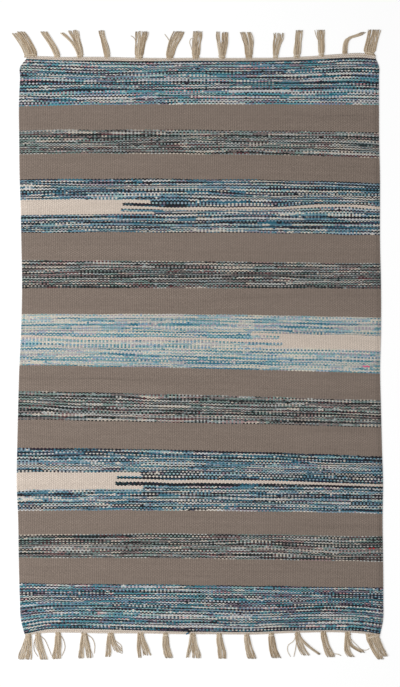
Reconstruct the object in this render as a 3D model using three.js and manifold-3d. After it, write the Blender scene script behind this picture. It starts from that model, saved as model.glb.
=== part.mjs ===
// A hand-woven striped cotton kilim, lying flat with its knotted fringes combed out.
//
// Millimetres, +Z up. X runs across the rug from the west to the east selvedge, Y runs along it
// from the south to the north end, and the underside lies on Z = 0. The woven panel is one
// flat solid with the uneven outline of hand-beaten cloth. Each fringe is one comb: its spine is
// the cream heading that locks the last pick, and its teeth are the tassels of warp ends.
import * as THREE from "three";
import { mergeVertices } from "three/addons/utils/BufferGeometryUtils.js";
import Module from "manifold-3d";

const wasm = await Module();
wasm.setup();

// Driving dimensions.
const HALF_WIDTH = 347; // middle of the rug to the mean line of a selvedge
const HALF_LENGTH = 547; // middle of the rug to the mean line of a woven end
const CLOTH_THICKNESS = 4; // warp plus two layers of soft cotton weft
const PIECE_GAP = 0.3; // clearance between the last pick and the heading
const ROOT_HEIGHT = 5.5; // crown of a tassel where its knot lies
const TIP_HEIGHT = 4; // crown of a tassel at its cut ends
const TASSEL_LAP = 2; // how far a tassel's root reaches back into the heading
const SELVEDGE_STEPS = 110; // straight stretches along one selvedge
const END_STEPS = 70; // straight stretches along one woven end
const TASSEL_STEPS = 8; // sections along a tassel, after the first
const ARCH_STEPS = 8; // flats round the crown of a tassel

// The selvedges: at each place along the rug, how far the west and the east edge stand out
// beyond HALF_WIDTH.
const SELVEDGES = [
  { along: -528, west: -2.4, east: 3.4 },
  { along: -490, west: -0.4, east: 4 },
  { along: -413, west: 1.8, east: 3.6 },
  { along: -336, west: 3, east: 2.6 },
  { along: -259, west: 6, east: 3.4 },
  { along: -202, west: 5, east: 1.5 },
  { along: -125, west: 3.2, east: -0.4 },
  { along: -48, west: 1, east: -2.2 },
  { along: 29, west: -2.6, east: -0.4 },
  { along: 106, west: -4.4, east: -0.4 },
  { along: 202, west: -3, east: -2.4 },
  { along: 278, west: -1.4, east: -2.4 },
  { along: 317, west: 0, east: -2.4 },
  { along: 394, west: 1, east: -4 },
  { along: 470, west: 1.5, east: -4.3 },
  { along: 534, west: -1, east: -4.3 },
];

// The woven ends: at each place across the rug, how far the last pick stands out beyond
// HALF_LENGTH, and how wide the heading outside it is. The first and last rows of each end are
// the drawn-in corners.
const SOUTH_END = [
  { across: -338, out: 7.5, heading: 3 },
  { across: -318, out: 3, heading: 5 },
  { across: -298, out: -1, heading: 7 },
  { across: -250, out: -3, heading: 8 },
  { across: -193, out: -2, heading: 8 },
  { across: -97, out: 1, heading: 6 },
  { across: 0, out: 3, heading: 5 },
  { across: 95, out: 3.5, heading: 5 },
  { across: 172, out: 1, heading: 5 },
  { across: 229, out: 0, heading: 4.5 },
  { across: 277, out: 0.5, heading: 4.5 },
  { across: 316, out: 3, heading: 4.5 },
  { across: 345, out: 8, heading: 4 },
];
const NORTH_END = [
  { across: -335, out: 1.5, heading: 6 },
  { across: -298, out: 0, heading: 6.5 },
  { across: -250, out: -1, heading: 7 },
  { across: -193, out: -2, heading: 7.5 },
  { across: -97, out: -3, heading: 6.5 },
  { across: 0, out: -2, heading: 6 },
  { across: 95, out: -2, heading: 6 },
  { across: 172, out: -1, heading: 6 },
  { across: 229, out: 1, heading: 7 },
  { across: 277, out: 3.5, heading: 8.5 },
  { across: 316, out: 3.5, heading: 8.5 },
  { across: 337, out: 2, heading: 6 },
];

// The tassels of each end, west to east: where the root and the tip lie across the rug, how wide
// the bundle is at both, how far it reaches out from the heading, and how far out it goes
// straight before it leans over.
const SOUTH_TASSELS = [
  { root: -330, rootWidth: 11, tip: -338, tipWidth: 25, reach: 47, knee: 12 },
  { root: -312, rootWidth: 10, tip: -301, tipWidth: 17, reach: 50, knee: 16 },
  { root: -273, rootWidth: 10, tip: -275, tipWidth: 17, reach: 51, knee: 20 },
  { root: -223, rootWidth: 11, tip: -221, tipWidth: 28, reach: 51, knee: 20 },
  { root: -172, rootWidth: 11, tip: -168, tipWidth: 28, reach: 48, knee: 16 },
  { root: -115, rootWidth: 11, tip: -107, tipWidth: 27, reach: 47, knee: 14 },
  { root: -67, rootWidth: 10, tip: -60, tipWidth: 16, reach: 47, knee: 18 },
  { root: -15, rootWidth: 10, tip: -14, tipWidth: 27, reach: 47, knee: 20 },
  { root: 36, rootWidth: 10, tip: 42, tipWidth: 17, reach: 47, knee: 20 },
  { root: 89, rootWidth: 9, tip: 99, tipWidth: 17, reach: 47, knee: 16 },
  { root: 136, rootWidth: 10, tip: 146, tipWidth: 17, reach: 47, knee: 16 },
  { root: 186, rootWidth: 11, tip: 203, tipWidth: 34, reach: 43, knee: 14 },
  { root: 236, rootWidth: 10, tip: 253, tipWidth: 18, reach: 49, knee: 12 },
  { root: 283, rootWidth: 11, tip: 305, tipWidth: 22, reach: 47, knee: 26 },
  { root: 331, rootWidth: 22, tip: 349, tipWidth: 20, reach: 41, knee: 12 },
];
const NORTH_TASSELS = [
  { root: -321, rootWidth: 25, tip: -351, tipWidth: 26, reach: 45, knee: 12 },
  { root: -275, rootWidth: 11, tip: -301, tipWidth: 13, reach: 49, knee: 14 },
  { root: -231, rootWidth: 15, tip: -247, tipWidth: 15, reach: 52, knee: 16 },
  { root: -179, rootWidth: 13, tip: -190, tipWidth: 12, reach: 52, knee: 18 },
  { root: -118, rootWidth: 15, tip: -112, tipWidth: 24, reach: 52, knee: 20 },
  { root: -59, rootWidth: 12, tip: -41, tipWidth: 23, reach: 52, knee: 16 },
  { root: -9, rootWidth: 14, tip: -3, tipWidth: 23, reach: 52, knee: 20 },
  { root: 41, rootWidth: 12, tip: 40, tipWidth: 25, reach: 52, knee: 20 },
  { root: 93, rootWidth: 13, tip: 87, tipWidth: 22, reach: 52, knee: 20 },
  { root: 144, rootWidth: 9, tip: 150, tipWidth: 21, reach: 49, knee: 20 },
  { root: 185, rootWidth: 12, tip: 189, tipWidth: 15, reach: 52, knee: 20 },
  { root: 232, rootWidth: 11, tip: 229, tipWidth: 19, reach: 50, knee: 20 },
  { root: 277, rootWidth: 7, tip: 311, tipWidth: 8, reach: 39, knee: 27 },
  { root: 324, rootWidth: 19, tip: 334, tipWidth: 26, reach: 47, knee: 18 },
];

// Each end of the rug: which way it faces along Y, its line of the last pick and its tassels.
const SOUTH = { facing: -1, rows: SOUTH_END, tassels: SOUTH_TASSELS };
const NORTH = { facing: 1, rows: NORTH_END, tassels: NORTH_TASSELS };

// A smooth run of points through a list of places, with an even number of straight stretches.
function smoothLine(places, steps) {
  return new THREE.SplineCurve(places).getSpacedPoints(steps);
}

// The line of the last pick at one end, from its west corner to its east corner.
function lastPick(end) {
  const places = end.rows.map((row) => new THREE.Vector2(row.across, end.facing * (HALF_LENGTH + row.out)));
  return smoothLine(places, END_STEPS);
}

// One selvedge, from its south corner to its north corner. The column is "west" or "east".
function selvedge(column, sign, southCorner, northCorner) {
  const places = SELVEDGES.map((row) => new THREE.Vector2(sign * (HALF_WIDTH + row[column]), row.along));
  return smoothLine([southCorner, ...places, northCorner], SELVEDGE_STEPS);
}

// A flat solid of the cloth's thickness, standing on Z = 0, with the given outline.
function flatCloth(outline) {
  return new THREE.ExtrudeGeometry(new THREE.Shape(outline), { depth: CLOTH_THICKNESS, bevelEnabled: false });
}

// The woven panel: its outline runs round both ends and both selvedges, each corner once.
function wovenPanelGeometry() {
  const south = lastPick(SOUTH);
  const north = lastPick(NORTH);
  const west = selvedge("west", -1, south[0], north[0]);
  const east = selvedge("east", 1, south.at(-1), north.at(-1));
  const roundTheRug = [
    ...south.slice(0, -1),
    ...east.slice(0, -1),
    ...north.reverse().slice(0, -1),
    ...west.reverse().slice(0, -1),
  ];
  return flatCloth(roundTheRug);
}

// The value of a column of an end's table at a place across the rug, straight between its rows.
function valueAcross(rows, column, across) {
  const after = rows.findIndex((row) => row.across > across);
  if (after === -1) {
    return rows.at(-1)[column];
  }
  if (after === 0) {
    return rows[0][column];
  }
  const [low, high] = [rows[after - 1], rows[after]];
  const share = (across - low.across) / (high.across - low.across);
  return THREE.MathUtils.lerp(low[column], high[column], share);
}

// The heading: a strip that follows the line of the last pick, PIECE_GAP outside it.
function headingGeometry(end) {
  const { facing, rows } = end;
  const pick = lastPick(end);
  const inner = pick.map((place) => new THREE.Vector2(place.x, place.y + facing * PIECE_GAP));
  const outer = pick.map(
    (place) => new THREE.Vector2(place.x, place.y + facing * valueAcross(rows, "heading", place.x)),
  );
  return flatCloth([...inner, ...outer.reverse()]);
}

// A tassel: a bundle of warp ends lying on the floor. Its sections are half ellipses, flat side
// down, square to a quadratic curve that leaves the heading straight and leans over to the tip.
// The width grows from the root to the tip and the crown sinks.
function tasselGeometry(tassel, { facing, rows }) {
  const pick = HALF_LENGTH + valueAcross(rows, "out", tassel.root);
  const edge = pick + valueAcross(rows, "heading", tassel.root);
  const path = new THREE.QuadraticBezierCurve(
    new THREE.Vector2(tassel.root, facing * (edge - TASSEL_LAP)),
    new THREE.Vector2(tassel.root, facing * (edge + tassel.knee)),
    new THREE.Vector2(tassel.tip, facing * (edge + tassel.reach)),
  );
  const ring = ARCH_STEPS + 1;
  const positions = [];
  for (let step = 0; step <= TASSEL_STEPS; step += 1) {
    const share = step / TASSEL_STEPS;
    const centre = path.getPoint(share);
    const onward = path.getTangent(share);
    const halfWidth = THREE.MathUtils.lerp(tassel.rootWidth, tassel.tipWidth, share) / 2;
    const crown = THREE.MathUtils.lerp(ROOT_HEIGHT, TIP_HEIGHT, share);
    for (let flat = 0; flat < ring; flat += 1) {
      const angle = (Math.PI * flat) / ARCH_STEPS;
      const sideways = halfWidth * Math.cos(angle);
      positions.push(centre.x + onward.y * sideways, centre.y - onward.x * sideways, crown * Math.sin(angle));
    }
  }
  const index = [];
  for (let step = 0; step < TASSEL_STEPS; step += 1) {
    for (let flat = 0; flat < ring; flat += 1) {
      const here = step * ring + flat;
      const beside = step * ring + ((flat + 1) % ring);
      index.push(here, beside + ring, beside, here, here + ring, beside + ring);
    }
  }
  const last = TASSEL_STEPS * ring;
  for (let flat = 1; flat < ring - 1; flat += 1) {
    index.push(0, flat, flat + 1, last, last + flat + 1, last + flat);
  }
  const geometry = new THREE.BufferGeometry();
  geometry.setAttribute("position", new THREE.Float32BufferAttribute(positions, 3));
  geometry.setIndex(index);
  return geometry;
}

// A three.js geometry as a manifold-3d solid, with shared vertices merged.
function toSolid(geometry) {
  const bare = geometry.clone();
  bare.deleteAttribute("normal");
  bare.deleteAttribute("uv");
  const merged = mergeVertices(bare);
  return new wasm.Manifold(
    new wasm.Mesh({
      numProp: 3,
      vertProperties: new Float32Array(merged.attributes.position.array),
      triVerts: new Uint32Array(merged.index.array),
    }),
  );
}

// A manifold-3d solid as a three.js geometry.
function toGeometry(solid) {
  const mesh = solid.getMesh();
  const geometry = new THREE.BufferGeometry();
  geometry.setAttribute("position", new THREE.Float32BufferAttribute(mesh.vertProperties, 3));
  geometry.setIndex([...mesh.triVerts]);
  geometry.computeVertexNormals();
  return geometry;
}

// A fringe: the heading and all its tassels joined into one comb.
function fringeGeometry(end) {
  let comb = toSolid(headingGeometry(end));
  for (const tassel of end.tassels) {
    comb = comb.add(toSolid(tasselGeometry(tassel, end)));
  }
  return toGeometry(comb);
}

function namedMesh(name, geometry, material) {
  const mesh = new THREE.Mesh(geometry, material);
  mesh.name = name;
  return mesh;
}

// A matt cotton finish of the given colour.
function matt(color) {
  return new THREE.MeshStandardMaterial({ color, roughness: 0.95, metalness: 0 });
}

const rug = new THREE.Group();
rug.add(namedMesh("woven_panel", wovenPanelGeometry(), matt(0x7c7a77)));
rug.add(namedMesh("fringe_south", fringeGeometry(SOUTH), matt(0xbfae8c)));
rug.add(namedMesh("fringe_north", fringeGeometry(NORTH), matt(0xbfae8c)));

// The origin is the middle of the whole rug's footprint, on the floor.
const middle = new THREE.Box3().setFromObject(rug).getCenter(new THREE.Vector3());
rug.position.set(-middle.x, -middle.y, 0);

export default rug;
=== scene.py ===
"""A flat-woven cotton kilim rug: one striped cloth, a heading along each end and two rows of tassels.

The upper side of the cloth has a raised diamond for every visible float of weft, and each float takes its
dye from a run of tones along its pick. So that no mesh is too heavy, the cloth is made in two closed lengths
that meet on one pick, at the edge of a stripe. The headings are pairs of two-ply cords that follow the uneven
ends, each tassel is a knotted bundle of single swept strands, and one loose end of weft hangs out at the
south heading. Everything is in metres, in the frame's own coordinates. Long tables of sizes are written in
millimetres, and MM turns them into metres.
"""

import logging
import math
from collections.abc import Sequence
from dataclasses import dataclass
from enum import Enum, IntEnum
from functools import partial

import bpy
import numpy as np
from bpy.types import ID, Material, Mesh, Node, NodeSocket, NodeTree, Object
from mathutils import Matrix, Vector
from numpy.random import Generator


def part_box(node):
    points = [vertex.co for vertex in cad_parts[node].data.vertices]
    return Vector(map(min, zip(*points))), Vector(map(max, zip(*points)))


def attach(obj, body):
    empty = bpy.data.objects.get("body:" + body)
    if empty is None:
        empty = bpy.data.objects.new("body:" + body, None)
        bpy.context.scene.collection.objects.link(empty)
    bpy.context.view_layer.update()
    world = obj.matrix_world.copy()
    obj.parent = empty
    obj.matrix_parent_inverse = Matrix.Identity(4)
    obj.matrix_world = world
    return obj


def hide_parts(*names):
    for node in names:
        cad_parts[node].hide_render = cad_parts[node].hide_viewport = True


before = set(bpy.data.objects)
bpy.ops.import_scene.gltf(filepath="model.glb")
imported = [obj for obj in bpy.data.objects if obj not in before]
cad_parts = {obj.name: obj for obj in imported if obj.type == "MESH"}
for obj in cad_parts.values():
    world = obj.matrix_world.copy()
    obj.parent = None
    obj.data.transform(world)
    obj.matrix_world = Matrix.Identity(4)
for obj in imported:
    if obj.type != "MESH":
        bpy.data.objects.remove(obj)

LOG = logging.getLogger("kilim")
MM = 0.001
TINY = 1e-9
BODY = "root"
PANEL_NODE = "woven_panel"
HALF_WIDTH = 347.0
HALF_LENGTH = 547.0
BAKE_MAP = "OFBake"
WEAVE_MAP = "Weave"
STRAND_MAP = "Strand"
GROOVE_END = 1
WHITE = (1.0, 1.0, 1.0, 1.0)
DISPLAY_WHITE = 255
TOE_END = 0.04045
TOE_SLOPE = 12.92
CURVE_LIFT = 0.055
CURVE_POWER = 2.4

Array = np.ndarray
Cell = tuple[int, int]
Inputs = dict[str | int, object]
Colour = tuple[int, int, int]
Places = tuple[tuple[float, ...], ...]
Span = tuple[float, float]


class Yarn(IntEnum):
    """The weft yarns, numbered in the order of the cloth's material slots."""

    MIXED = 0
    CHARCOAL = 1
    BLUE = 2
    SKY = 3
    TAUPE = 4
    CREAM = 5


class Side(IntEnum):
    """The two selvedges, each with its direction across the cloth."""

    WEST = -1
    EAST = 1


class End(Enum):
    """The two ends of the rug: a name, the direction outwards and the frame's fringe node."""

    SOUTH = ("south", -1.0, "fringe_south")
    NORTH = ("north", 1.0, "fringe_north")

    def __init__(self, title: str, outwards: float, node: str) -> None:
        """Keeps what belongs to one end.

        Args:
            title: its name.
            outwards: the sign of its direction along the rug.
            node: its fringe's node.
        """
        self.title = title
        self.outwards = outwards
        self.node = node


# ---- shapes


def smooth_through(knots: Array, values: Array, at: Array) -> Array:
    """A smooth line through given values.

    Between two knots it is the cubic whose slope at each knot is that of the line through its neighbours.

    Args:
        knots: rising places of the known values.
        values: the known values.
        at: the places to work out; those past an end take the end's value.

    Returns:
        The line's values, in the shape of at.
    """
    slopes = np.gradient(values, knots)
    piece = np.clip(np.searchsorted(knots, at) - 1, 0, len(knots) - 2)
    span = knots[piece + 1] - knots[piece]
    t = np.clip((at - knots[piece]) / span, 0.0, 1.0)
    start = (1 + 2 * t) * (1 - t) ** 2 * values[piece] + t * (1 - t) ** 2 * span * slopes[piece]
    stop = t * t * (3 - 2 * t) * values[piece + 1] - t * t * (1 - t) * span * slopes[piece + 1]
    return start + stop


def soft_noise(rng: Generator, shape: Cell, steps: Cell) -> Array:
    """Smooth random hills over a grid.

    Normal numbers on a coarse grid, drawn out to the fine one with a cosine ease between neighbours.

    Args:
        rng: the random source.
        shape: rows and columns of the fine grid.
        steps: fine rows and columns to one coarse cell.

    Returns:
        An array of that shape, of about unit spread.
    """
    coarse = rng.normal(size=(shape[0] // steps[0] + 2, shape[1] // steps[1] + 2))
    row = np.arange(shape[0]) / steps[0]
    col = np.arange(shape[1]) / steps[1]
    r, c = row.astype(int), col.astype(int)
    fr = (0.5 - 0.5 * np.cos(np.pi * (row - r)))[:, None]
    fc = (0.5 - 0.5 * np.cos(np.pi * (col - c)))[None, :]
    low = coarse[r][:, c] * (1 - fc) + coarse[r][:, c + 1] * fc
    high = coarse[r + 1][:, c] * (1 - fc) + coarse[r + 1][:, c + 1] * fc
    return low * (1 - fr) + high * fr


def make_mesh(name: str, points: Array, faces: Sequence[Array]) -> Mesh:
    """Puts points and faces into a new mesh.

    Args:
        name: the mesh's name.
        points: an array of places, in metres.
        faces: arrays of corner numbers, one array for each count of corners, kept in this order.

    Returns:
        The mesh, with its edges made.
    """
    mesh = bpy.data.meshes.new(name)
    corners = np.concatenate([f.ravel() for f in faces]).astype(np.int32)
    sizes = np.concatenate([np.full(len(f), f.shape[1]) for f in faces])
    starts = np.concatenate([[0], np.cumsum(sizes)[:-1]]).astype(np.int32)
    mesh.vertices.add(len(points))
    mesh.vertices.foreach_set("co", np.ascontiguousarray(points, dtype=np.float32).ravel())
    mesh.loops.add(len(corners))
    mesh.loops.foreach_set("vertex_index", corners)
    mesh.polygons.add(len(sizes))
    mesh.polygons.foreach_set("loop_start", starts)
    mesh.update(calc_edges=True)
    return mesh


def add_map(mesh: Mesh, name: str, corners: Array) -> None:
    """Gives a mesh a UV map: one pair for every face corner."""
    layer = mesh.uv_layers.new(name=name, do_init=False)
    layer.uv.foreach_set("vector", np.ascontiguousarray(corners, dtype=np.float32).ravel())


def add_face_value(mesh: Mesh, name: str, values: Array) -> None:
    """Gives a mesh a named number for every face."""
    attribute = mesh.attributes.new(name, "FLOAT", "FACE")
    attribute.data.foreach_set("value", np.ascontiguousarray(values, dtype=np.float32))


def show_map(mesh: Mesh, name: str) -> None:
    """Makes a UV map the one that is shown and rendered."""
    mesh.uv_layers.active = mesh.uv_layers[name]
    mesh.uv_layers[name].active_render = True


def add_object(name: str, data: ID) -> Object:
    """Makes an object at the origin and puts it into the scene.

    Args:
        name: the object's name.
        data: its mesh, light or camera.

    Returns:
        The object.
    """
    item = bpy.data.objects.new(name, data)
    bpy.context.scene.collection.objects.link(item)
    return item


def place_piece(mesh: Mesh, node: str) -> Object:
    """Makes a mesh a piece of the rug, with its object at the origin.

    Args:
        mesh: the finished mesh, in the frame's coordinates.
        node: the frame's node that the piece stands for.

    Returns:
        The new object, already riding on the rug's body.
    """
    piece = add_object(mesh.name, mesh)
    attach(piece, BODY)
    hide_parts(node)
    LOG.info("%s: %d points, %d faces", piece.name, len(mesh.vertices), len(mesh.polygons))
    return piece


@dataclass(frozen=True)
class MapRoom:
    """A rectangle of a bake map: its lowest corner and its size."""

    low: Span
    size: Span

    def place(self, share: Array) -> Array:
        """Spreads pairs of numbers from 0 to 1 over the rectangle: low plus share times size."""
        return np.array(self.low) + np.array(self.size) * share


@dataclass(frozen=True)
class Tubes:
    """Round strands carried along centre lines, with a flat cap at each end.

    A strand's point at angle a is its centre plus the radius times (cos a sideways + sin a downwards), where
    sideways is square to both the path and the reference direction. Faces that follow the angle and then the
    path point outwards.
    """

    centres: Array
    radii: Array
    sides: int = 6
    reference: tuple[float, float, float] = (0.0, 0.0, 1.0)
    room: MapRoom = MapRoom((0.02, 0.04), (0.96, 0.92))
    cap_places: Span = (0.01, 0.99)
    cap_radius: float = 0.004
    cap_turns: float = 10.0

    def turned(self) -> Array:
        """The cosine and sine of each side's angle, in an array of sides and the two."""
        angle = 2 * np.pi * np.arange(self.sides) / self.sides
        return np.stack([np.cos(angle), np.sin(angle)], axis=-1)

    def points(self) -> Array:
        """Works out the points of every ring.

        Returns:
            An array of strands, rings, sides and coordinates.
        """
        along = np.gradient(self.centres, axis=1)
        along /= np.linalg.norm(along, axis=2, keepdims=True)
        sideways = np.cross(along, np.array(self.reference))
        sideways /= np.maximum(np.linalg.norm(sideways, axis=2, keepdims=True), TINY)
        downwards = np.cross(along, sideways)
        cosine, sine = self.turned().T[:, :, None]
        ring = cosine * sideways[:, :, None, :] + sine * downwards[:, :, None, :]
        return self.centres[:, :, None, :] + self.radii[:, :, None, None] * ring

    def corners(self) -> tuple[Array, Array]:
        """Joins the rings with faces.

        Returns:
            The side faces, four corners each, and the end caps, numbered over all strands.
        """
        strands, rings = self.radii.shape
        number = np.arange(strands * rings * self.sides).reshape(strands, rings, self.sides)
        turned = np.roll(number, -1, axis=2)
        quads = np.stack([number[:, :-1], turned[:, :-1], turned[:, 1:], number[:, 1:]], axis=-1)
        caps = np.concatenate([number[:, 0, ::-1], number[:, -1]])
        return quads.reshape(-1, 4), caps

    def maps(self, twist: float) -> tuple[Array, Array]:
        """Two maps for the corners: one in turns of twist along and round the strand, one for a bake.

        On the bake map every strand has a strip of its own, with its end caps as small dots in the margins.

        Args:
            twist: the length of one turn of the yarn's twist, in metres.

        Returns:
            The pattern map and the bake map, one pair for every corner of the faces from corners().
        """
        strands, rings = self.radii.shape
        step = np.linalg.norm(np.diff(self.centres, axis=1), axis=2)
        run = np.concatenate([np.zeros((strands, 1)), np.cumsum(step, axis=1)], axis=1)
        u = np.stack([run[:, :-1], run[:, :-1], run[:, 1:], run[:, 1:]], axis=-1) / twist
        u = np.repeat(u[:, :, None, :], self.sides, axis=2)
        v = (np.arange(self.sides)[:, None] + np.array([0, 1, 1, 0])) / self.sides
        v = np.broadcast_to(v, u.shape)
        share = np.arange(rings) / (rings - 1)
        share = np.stack([share[:-1], share[:-1], share[1:], share[1:]], axis=-1)
        share = np.broadcast_to(share[None, :, None, :], u.shape)
        pattern = np.stack([u, v], axis=-1).reshape(-1, 2)
        bake = self.room.place(np.stack([share, v], axis=-1))
        bake[..., 1] = (bake[..., 1] + np.arange(strands)[:, None, None, None]) / strands
        dot = self.turned() * self.cap_radius
        middle = (np.tile(np.arange(strands), 2) + 0.5) / strands
        caps = np.stack([np.repeat(self.cap_places, strands), middle], axis=-1)[:, None, :] + dot
        ends = np.concatenate([run[:, 0], run[:, -1]])[:, None, None] / twist + self.cap_turns * dot
        pattern = np.concatenate([pattern, ends.reshape(-1, 2)])
        return pattern, np.concatenate([bake.reshape(-1, 2), caps.reshape(-1, 2)])

    def face_strands(self) -> Array:
        """Finds out which strand each face belongs to.

        Returns:
            A strand's number for every face from corners().
        """
        strands, rings = self.radii.shape
        number = np.arange(strands)
        return np.concatenate([np.repeat(number, (rings - 1) * self.sides), number, number])


def join_tubes(name: str, parts: Sequence[Tubes], twist: float, tones: Array) -> Mesh:
    """Makes one mesh of several sets of strands.

    Args:
        name: the mesh's name.
        parts: the sets of strands, which all have the same number of sides.
        twist: the length of one turn of twist, in metres.
        tones: one tone from 0 to 1 for every strand, over all sets.

    Returns:
        The smooth-shaded mesh, with its maps and its tone attribute.
    """
    points, quads, caps = [], [], []
    patterns, bakes, owners = ([], []), ([], []), ([], [])
    done, strand = 0, 0
    for index, part in enumerate(parts):
        quad, cap = part.corners()
        pattern, bake = part.maps(twist)
        owner = part.face_strands() + strand
        bake = (bake + np.array([0.0, index])) * np.array([1.0, 1.0 / len(parts)])
        for kept, found, side_count in (
            (patterns, pattern, quad.size),
            (bakes, bake, quad.size),
            (owners, owner, len(quad)),
        ):
            kept[0].append(found[:side_count])
            kept[1].append(found[side_count:])
        points.append(part.points().reshape(-1, 3))
        quads.append(quad + done)
        caps.append(cap + done)
        done += len(points[-1])
        strand += len(part.radii)
    mesh = make_mesh(name, np.concatenate(points), [np.concatenate(quads), np.concatenate(caps)])
    add_map(mesh, STRAND_MAP, np.concatenate(patterns[0] + patterns[1]))
    add_map(mesh, BAKE_MAP, np.concatenate(bakes[0] + bakes[1]))
    add_face_value(mesh, "tone", tones[np.concatenate(owners[0] + owners[1])])
    show_map(mesh, STRAND_MAP)
    mesh.shade_smooth()
    return mesh


# ---- outline


@dataclass(frozen=True)
class Outline:
    """The uneven outline of the cloth and the width of its headings, in millimetres round its own middle.

    selvedges holds (along, west, east): how far each selvedge lies beyond half the width. Each end holds
    (across, out, heading): how far it lies beyond half the length, and how wide its heading is.
    """

    selvedges: Places = (
        (-528, -2.4, 3.4), (-490, -0.4, 4), (-413, 1.8, 3.6), (-336, 3, 2.6), (-259, 6, 3.4),
        (-202, 5, 1.5), (-125, 3.2, -0.4), (-48, 1, -2.2), (29, -2.6, -0.4), (106, -4.4, -0.4),
        (202, -3, -2.4), (278, -1.4, -2.4), (317, 0, -2.4), (394, 1, -4), (470, 1.5, -4.3),
        (514, -0.6, -4.3), (534, -1, -4.3),
    )
    south: Places = (
        (-338, 7.5, 3), (-318, 3, 5), (-298, -1, 7), (-250, -3, 8), (-193, -2, 8), (-97, 1, 6),
        (0, 3, 5), (95, 3.5, 5), (172, 1, 5), (229, 0, 4.5), (277, 0.5, 4.5), (316, 3, 4.5),
        (345, 8, 4),
    )
    north: Places = (
        (-335, 1.5, 6), (-298, 0, 6.5), (-250, -1, 7), (-193, -2, 7.5), (-97, -3, 6.5), (0, -2, 6),
        (95, -2, 6), (172, -1, 6), (229, 1, 7), (277, 3.5, 8.5), (316, 3.5, 8.5), (337, 2, 6),
    )
    samples: int = 2000

    def end_table(self, end: End) -> Array:
        """One end's table as an array."""
        return np.array(self.south if end is End.SOUTH else self.north, dtype=float)

    def edge(self, end: End, across: Array) -> Array:
        """How far along the cloth an end lies, at places across it."""
        table = self.end_table(end)
        return end.outwards * (HALF_LENGTH + smooth_through(table[:, 0], table[:, 1], across))

    def heading(self, end: End, across: Array) -> Array:
        """How wide an end's heading is, at places across the cloth."""
        table = self.end_table(end)
        return smooth_through(table[:, 0], table[:, 2], across)

    def selvedge(self, side: Side, along: Array) -> Array:
        """Where a selvedge lies across the cloth. Its corners come from the tables of the two ends.

        Args:
            side: which selvedge.
            along: the places along the cloth, in millimetres.

        Returns:
            The places across it, in millimetres.
        """
        rows = np.array(self.selvedges)
        south, north = self.end_table(End.SOUTH), self.end_table(End.NORTH)
        corner = 0 if side is Side.WEST else -1
        knots = np.concatenate(
            [[-HALF_LENGTH - south[corner, 1]], rows[:, 0], [HALF_LENGTH + north[corner, 1]]]
        )
        out = side * (HALF_WIDTH + rows[:, 1 if side is Side.WEST else 2])
        places = np.concatenate([[south[corner, 0]], out, [north[corner, 0]]])
        return smooth_through(knots, places, along)

    def box(self) -> tuple[Array, Array]:
        """Measures the outline.

        Returns:
            The lowest and the highest corner of its box, in millimetres.
        """
        along = np.linspace(-HALF_LENGTH, HALF_LENGTH, self.samples)
        across = np.linspace(-HALF_WIDTH, HALF_WIDTH, self.samples)
        west, east = self.selvedge(Side.WEST, along), self.selvedge(Side.EAST, along)
        south, north = self.edge(End.SOUTH, across), self.edge(End.NORTH, across)
        return np.array([west.min(), south.min()]), np.array([east.max(), north.max()])

    def shift(self) -> Array:
        """Finds out where the frame's panel lies.

        Returns:
            How far its middle is from the outline's own, across and along, in metres.
        """
        low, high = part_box(PANEL_NODE)
        own_low, own_high = self.box()
        middle = np.array([low[0] + high[0], low[1] + high[1]]) / 2
        return middle - (own_low + own_high) / 2 * MM


# ---- stripes


@dataclass(frozen=True)
class Inlay:
    """A cream figure in a band: a block at one selvedge, two tongues and one line across the whole width.

    Its picks fall into equal courses. The middle one is cream all the way, the outermost as far as the
    tongues' end, and those between as far as the block's end, each with a small slip of its own.
    """

    ground: Yarn
    wide: Side
    block_end: float
    tongue_end: float
    slips: tuple[float, ...] = (2.0, -3.0, 0.0, 1.5, -2.5)

    def line(self, picks: int) -> tuple[int, int]:
        """The first pick of the line across the whole width, and the first pick after it."""
        courses = len(self.slips)
        return picks * (courses // 2) // courses, picks * (courses // 2 + 1) // courses

    def yarns(self, across: Array, picks: int) -> Array:
        """The yarn at each pick and warp end of the figure.

        Args:
            across: where each warp end lies, in millimetres.
            picks: how many picks the figure has.

        Returns:
            Yarn numbers, in an array of picks and warp ends.
        """
        courses = len(self.slips)
        course = np.arange(picks) * courses // picks
        reach = np.where(course % 2 == 0, self.tongue_end, self.block_end)
        edge = np.array(self.slips)[course] - self.wide * reach
        limit = np.where(course == courses // 2, np.inf, edge)
        inside = -self.wide * across[None, :] < limit[:, None]
        return np.where(inside, int(Yarn.CREAM), int(self.ground))


@dataclass(frozen=True)
class Stripe:
    """One stripe of the cloth: its yarn, its number of passes and the line of its north edge.

    A pass is two picks, out and back.

    north gives how far along the cloth that edge lies at the west selvedge, in the middle and at the east
    selvedge, in millimetres.
    """

    yarn: Yarn
    passes: int
    north: tuple[float, float, float]
    inlay: Inlay | None = None

    @property
    def picks(self) -> int:
        """The stripe's number of picks."""
        return 2 * self.passes

    def edge(self, across: Array) -> Array:
        """The north edge: the parabola through its three places.

        Args:
            across: the places across the cloth, in millimetres.

        Returns:
            The places along it, in millimetres.
        """
        west, middle, east = self.north
        t = across / HALF_WIDTH
        return middle + (east - west) / 2 * t + ((east + west) / 2 - middle) * t * t


WEST_WIDE = Inlay(Yarn.BLUE, Side.WEST, -151, -93)
EAST_WIDE = Inlay(Yarn.SKY, Side.EAST, 152, 95)
SOUTH_WIDE = Inlay(Yarn.BLUE, Side.WEST, -158, -110)

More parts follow.
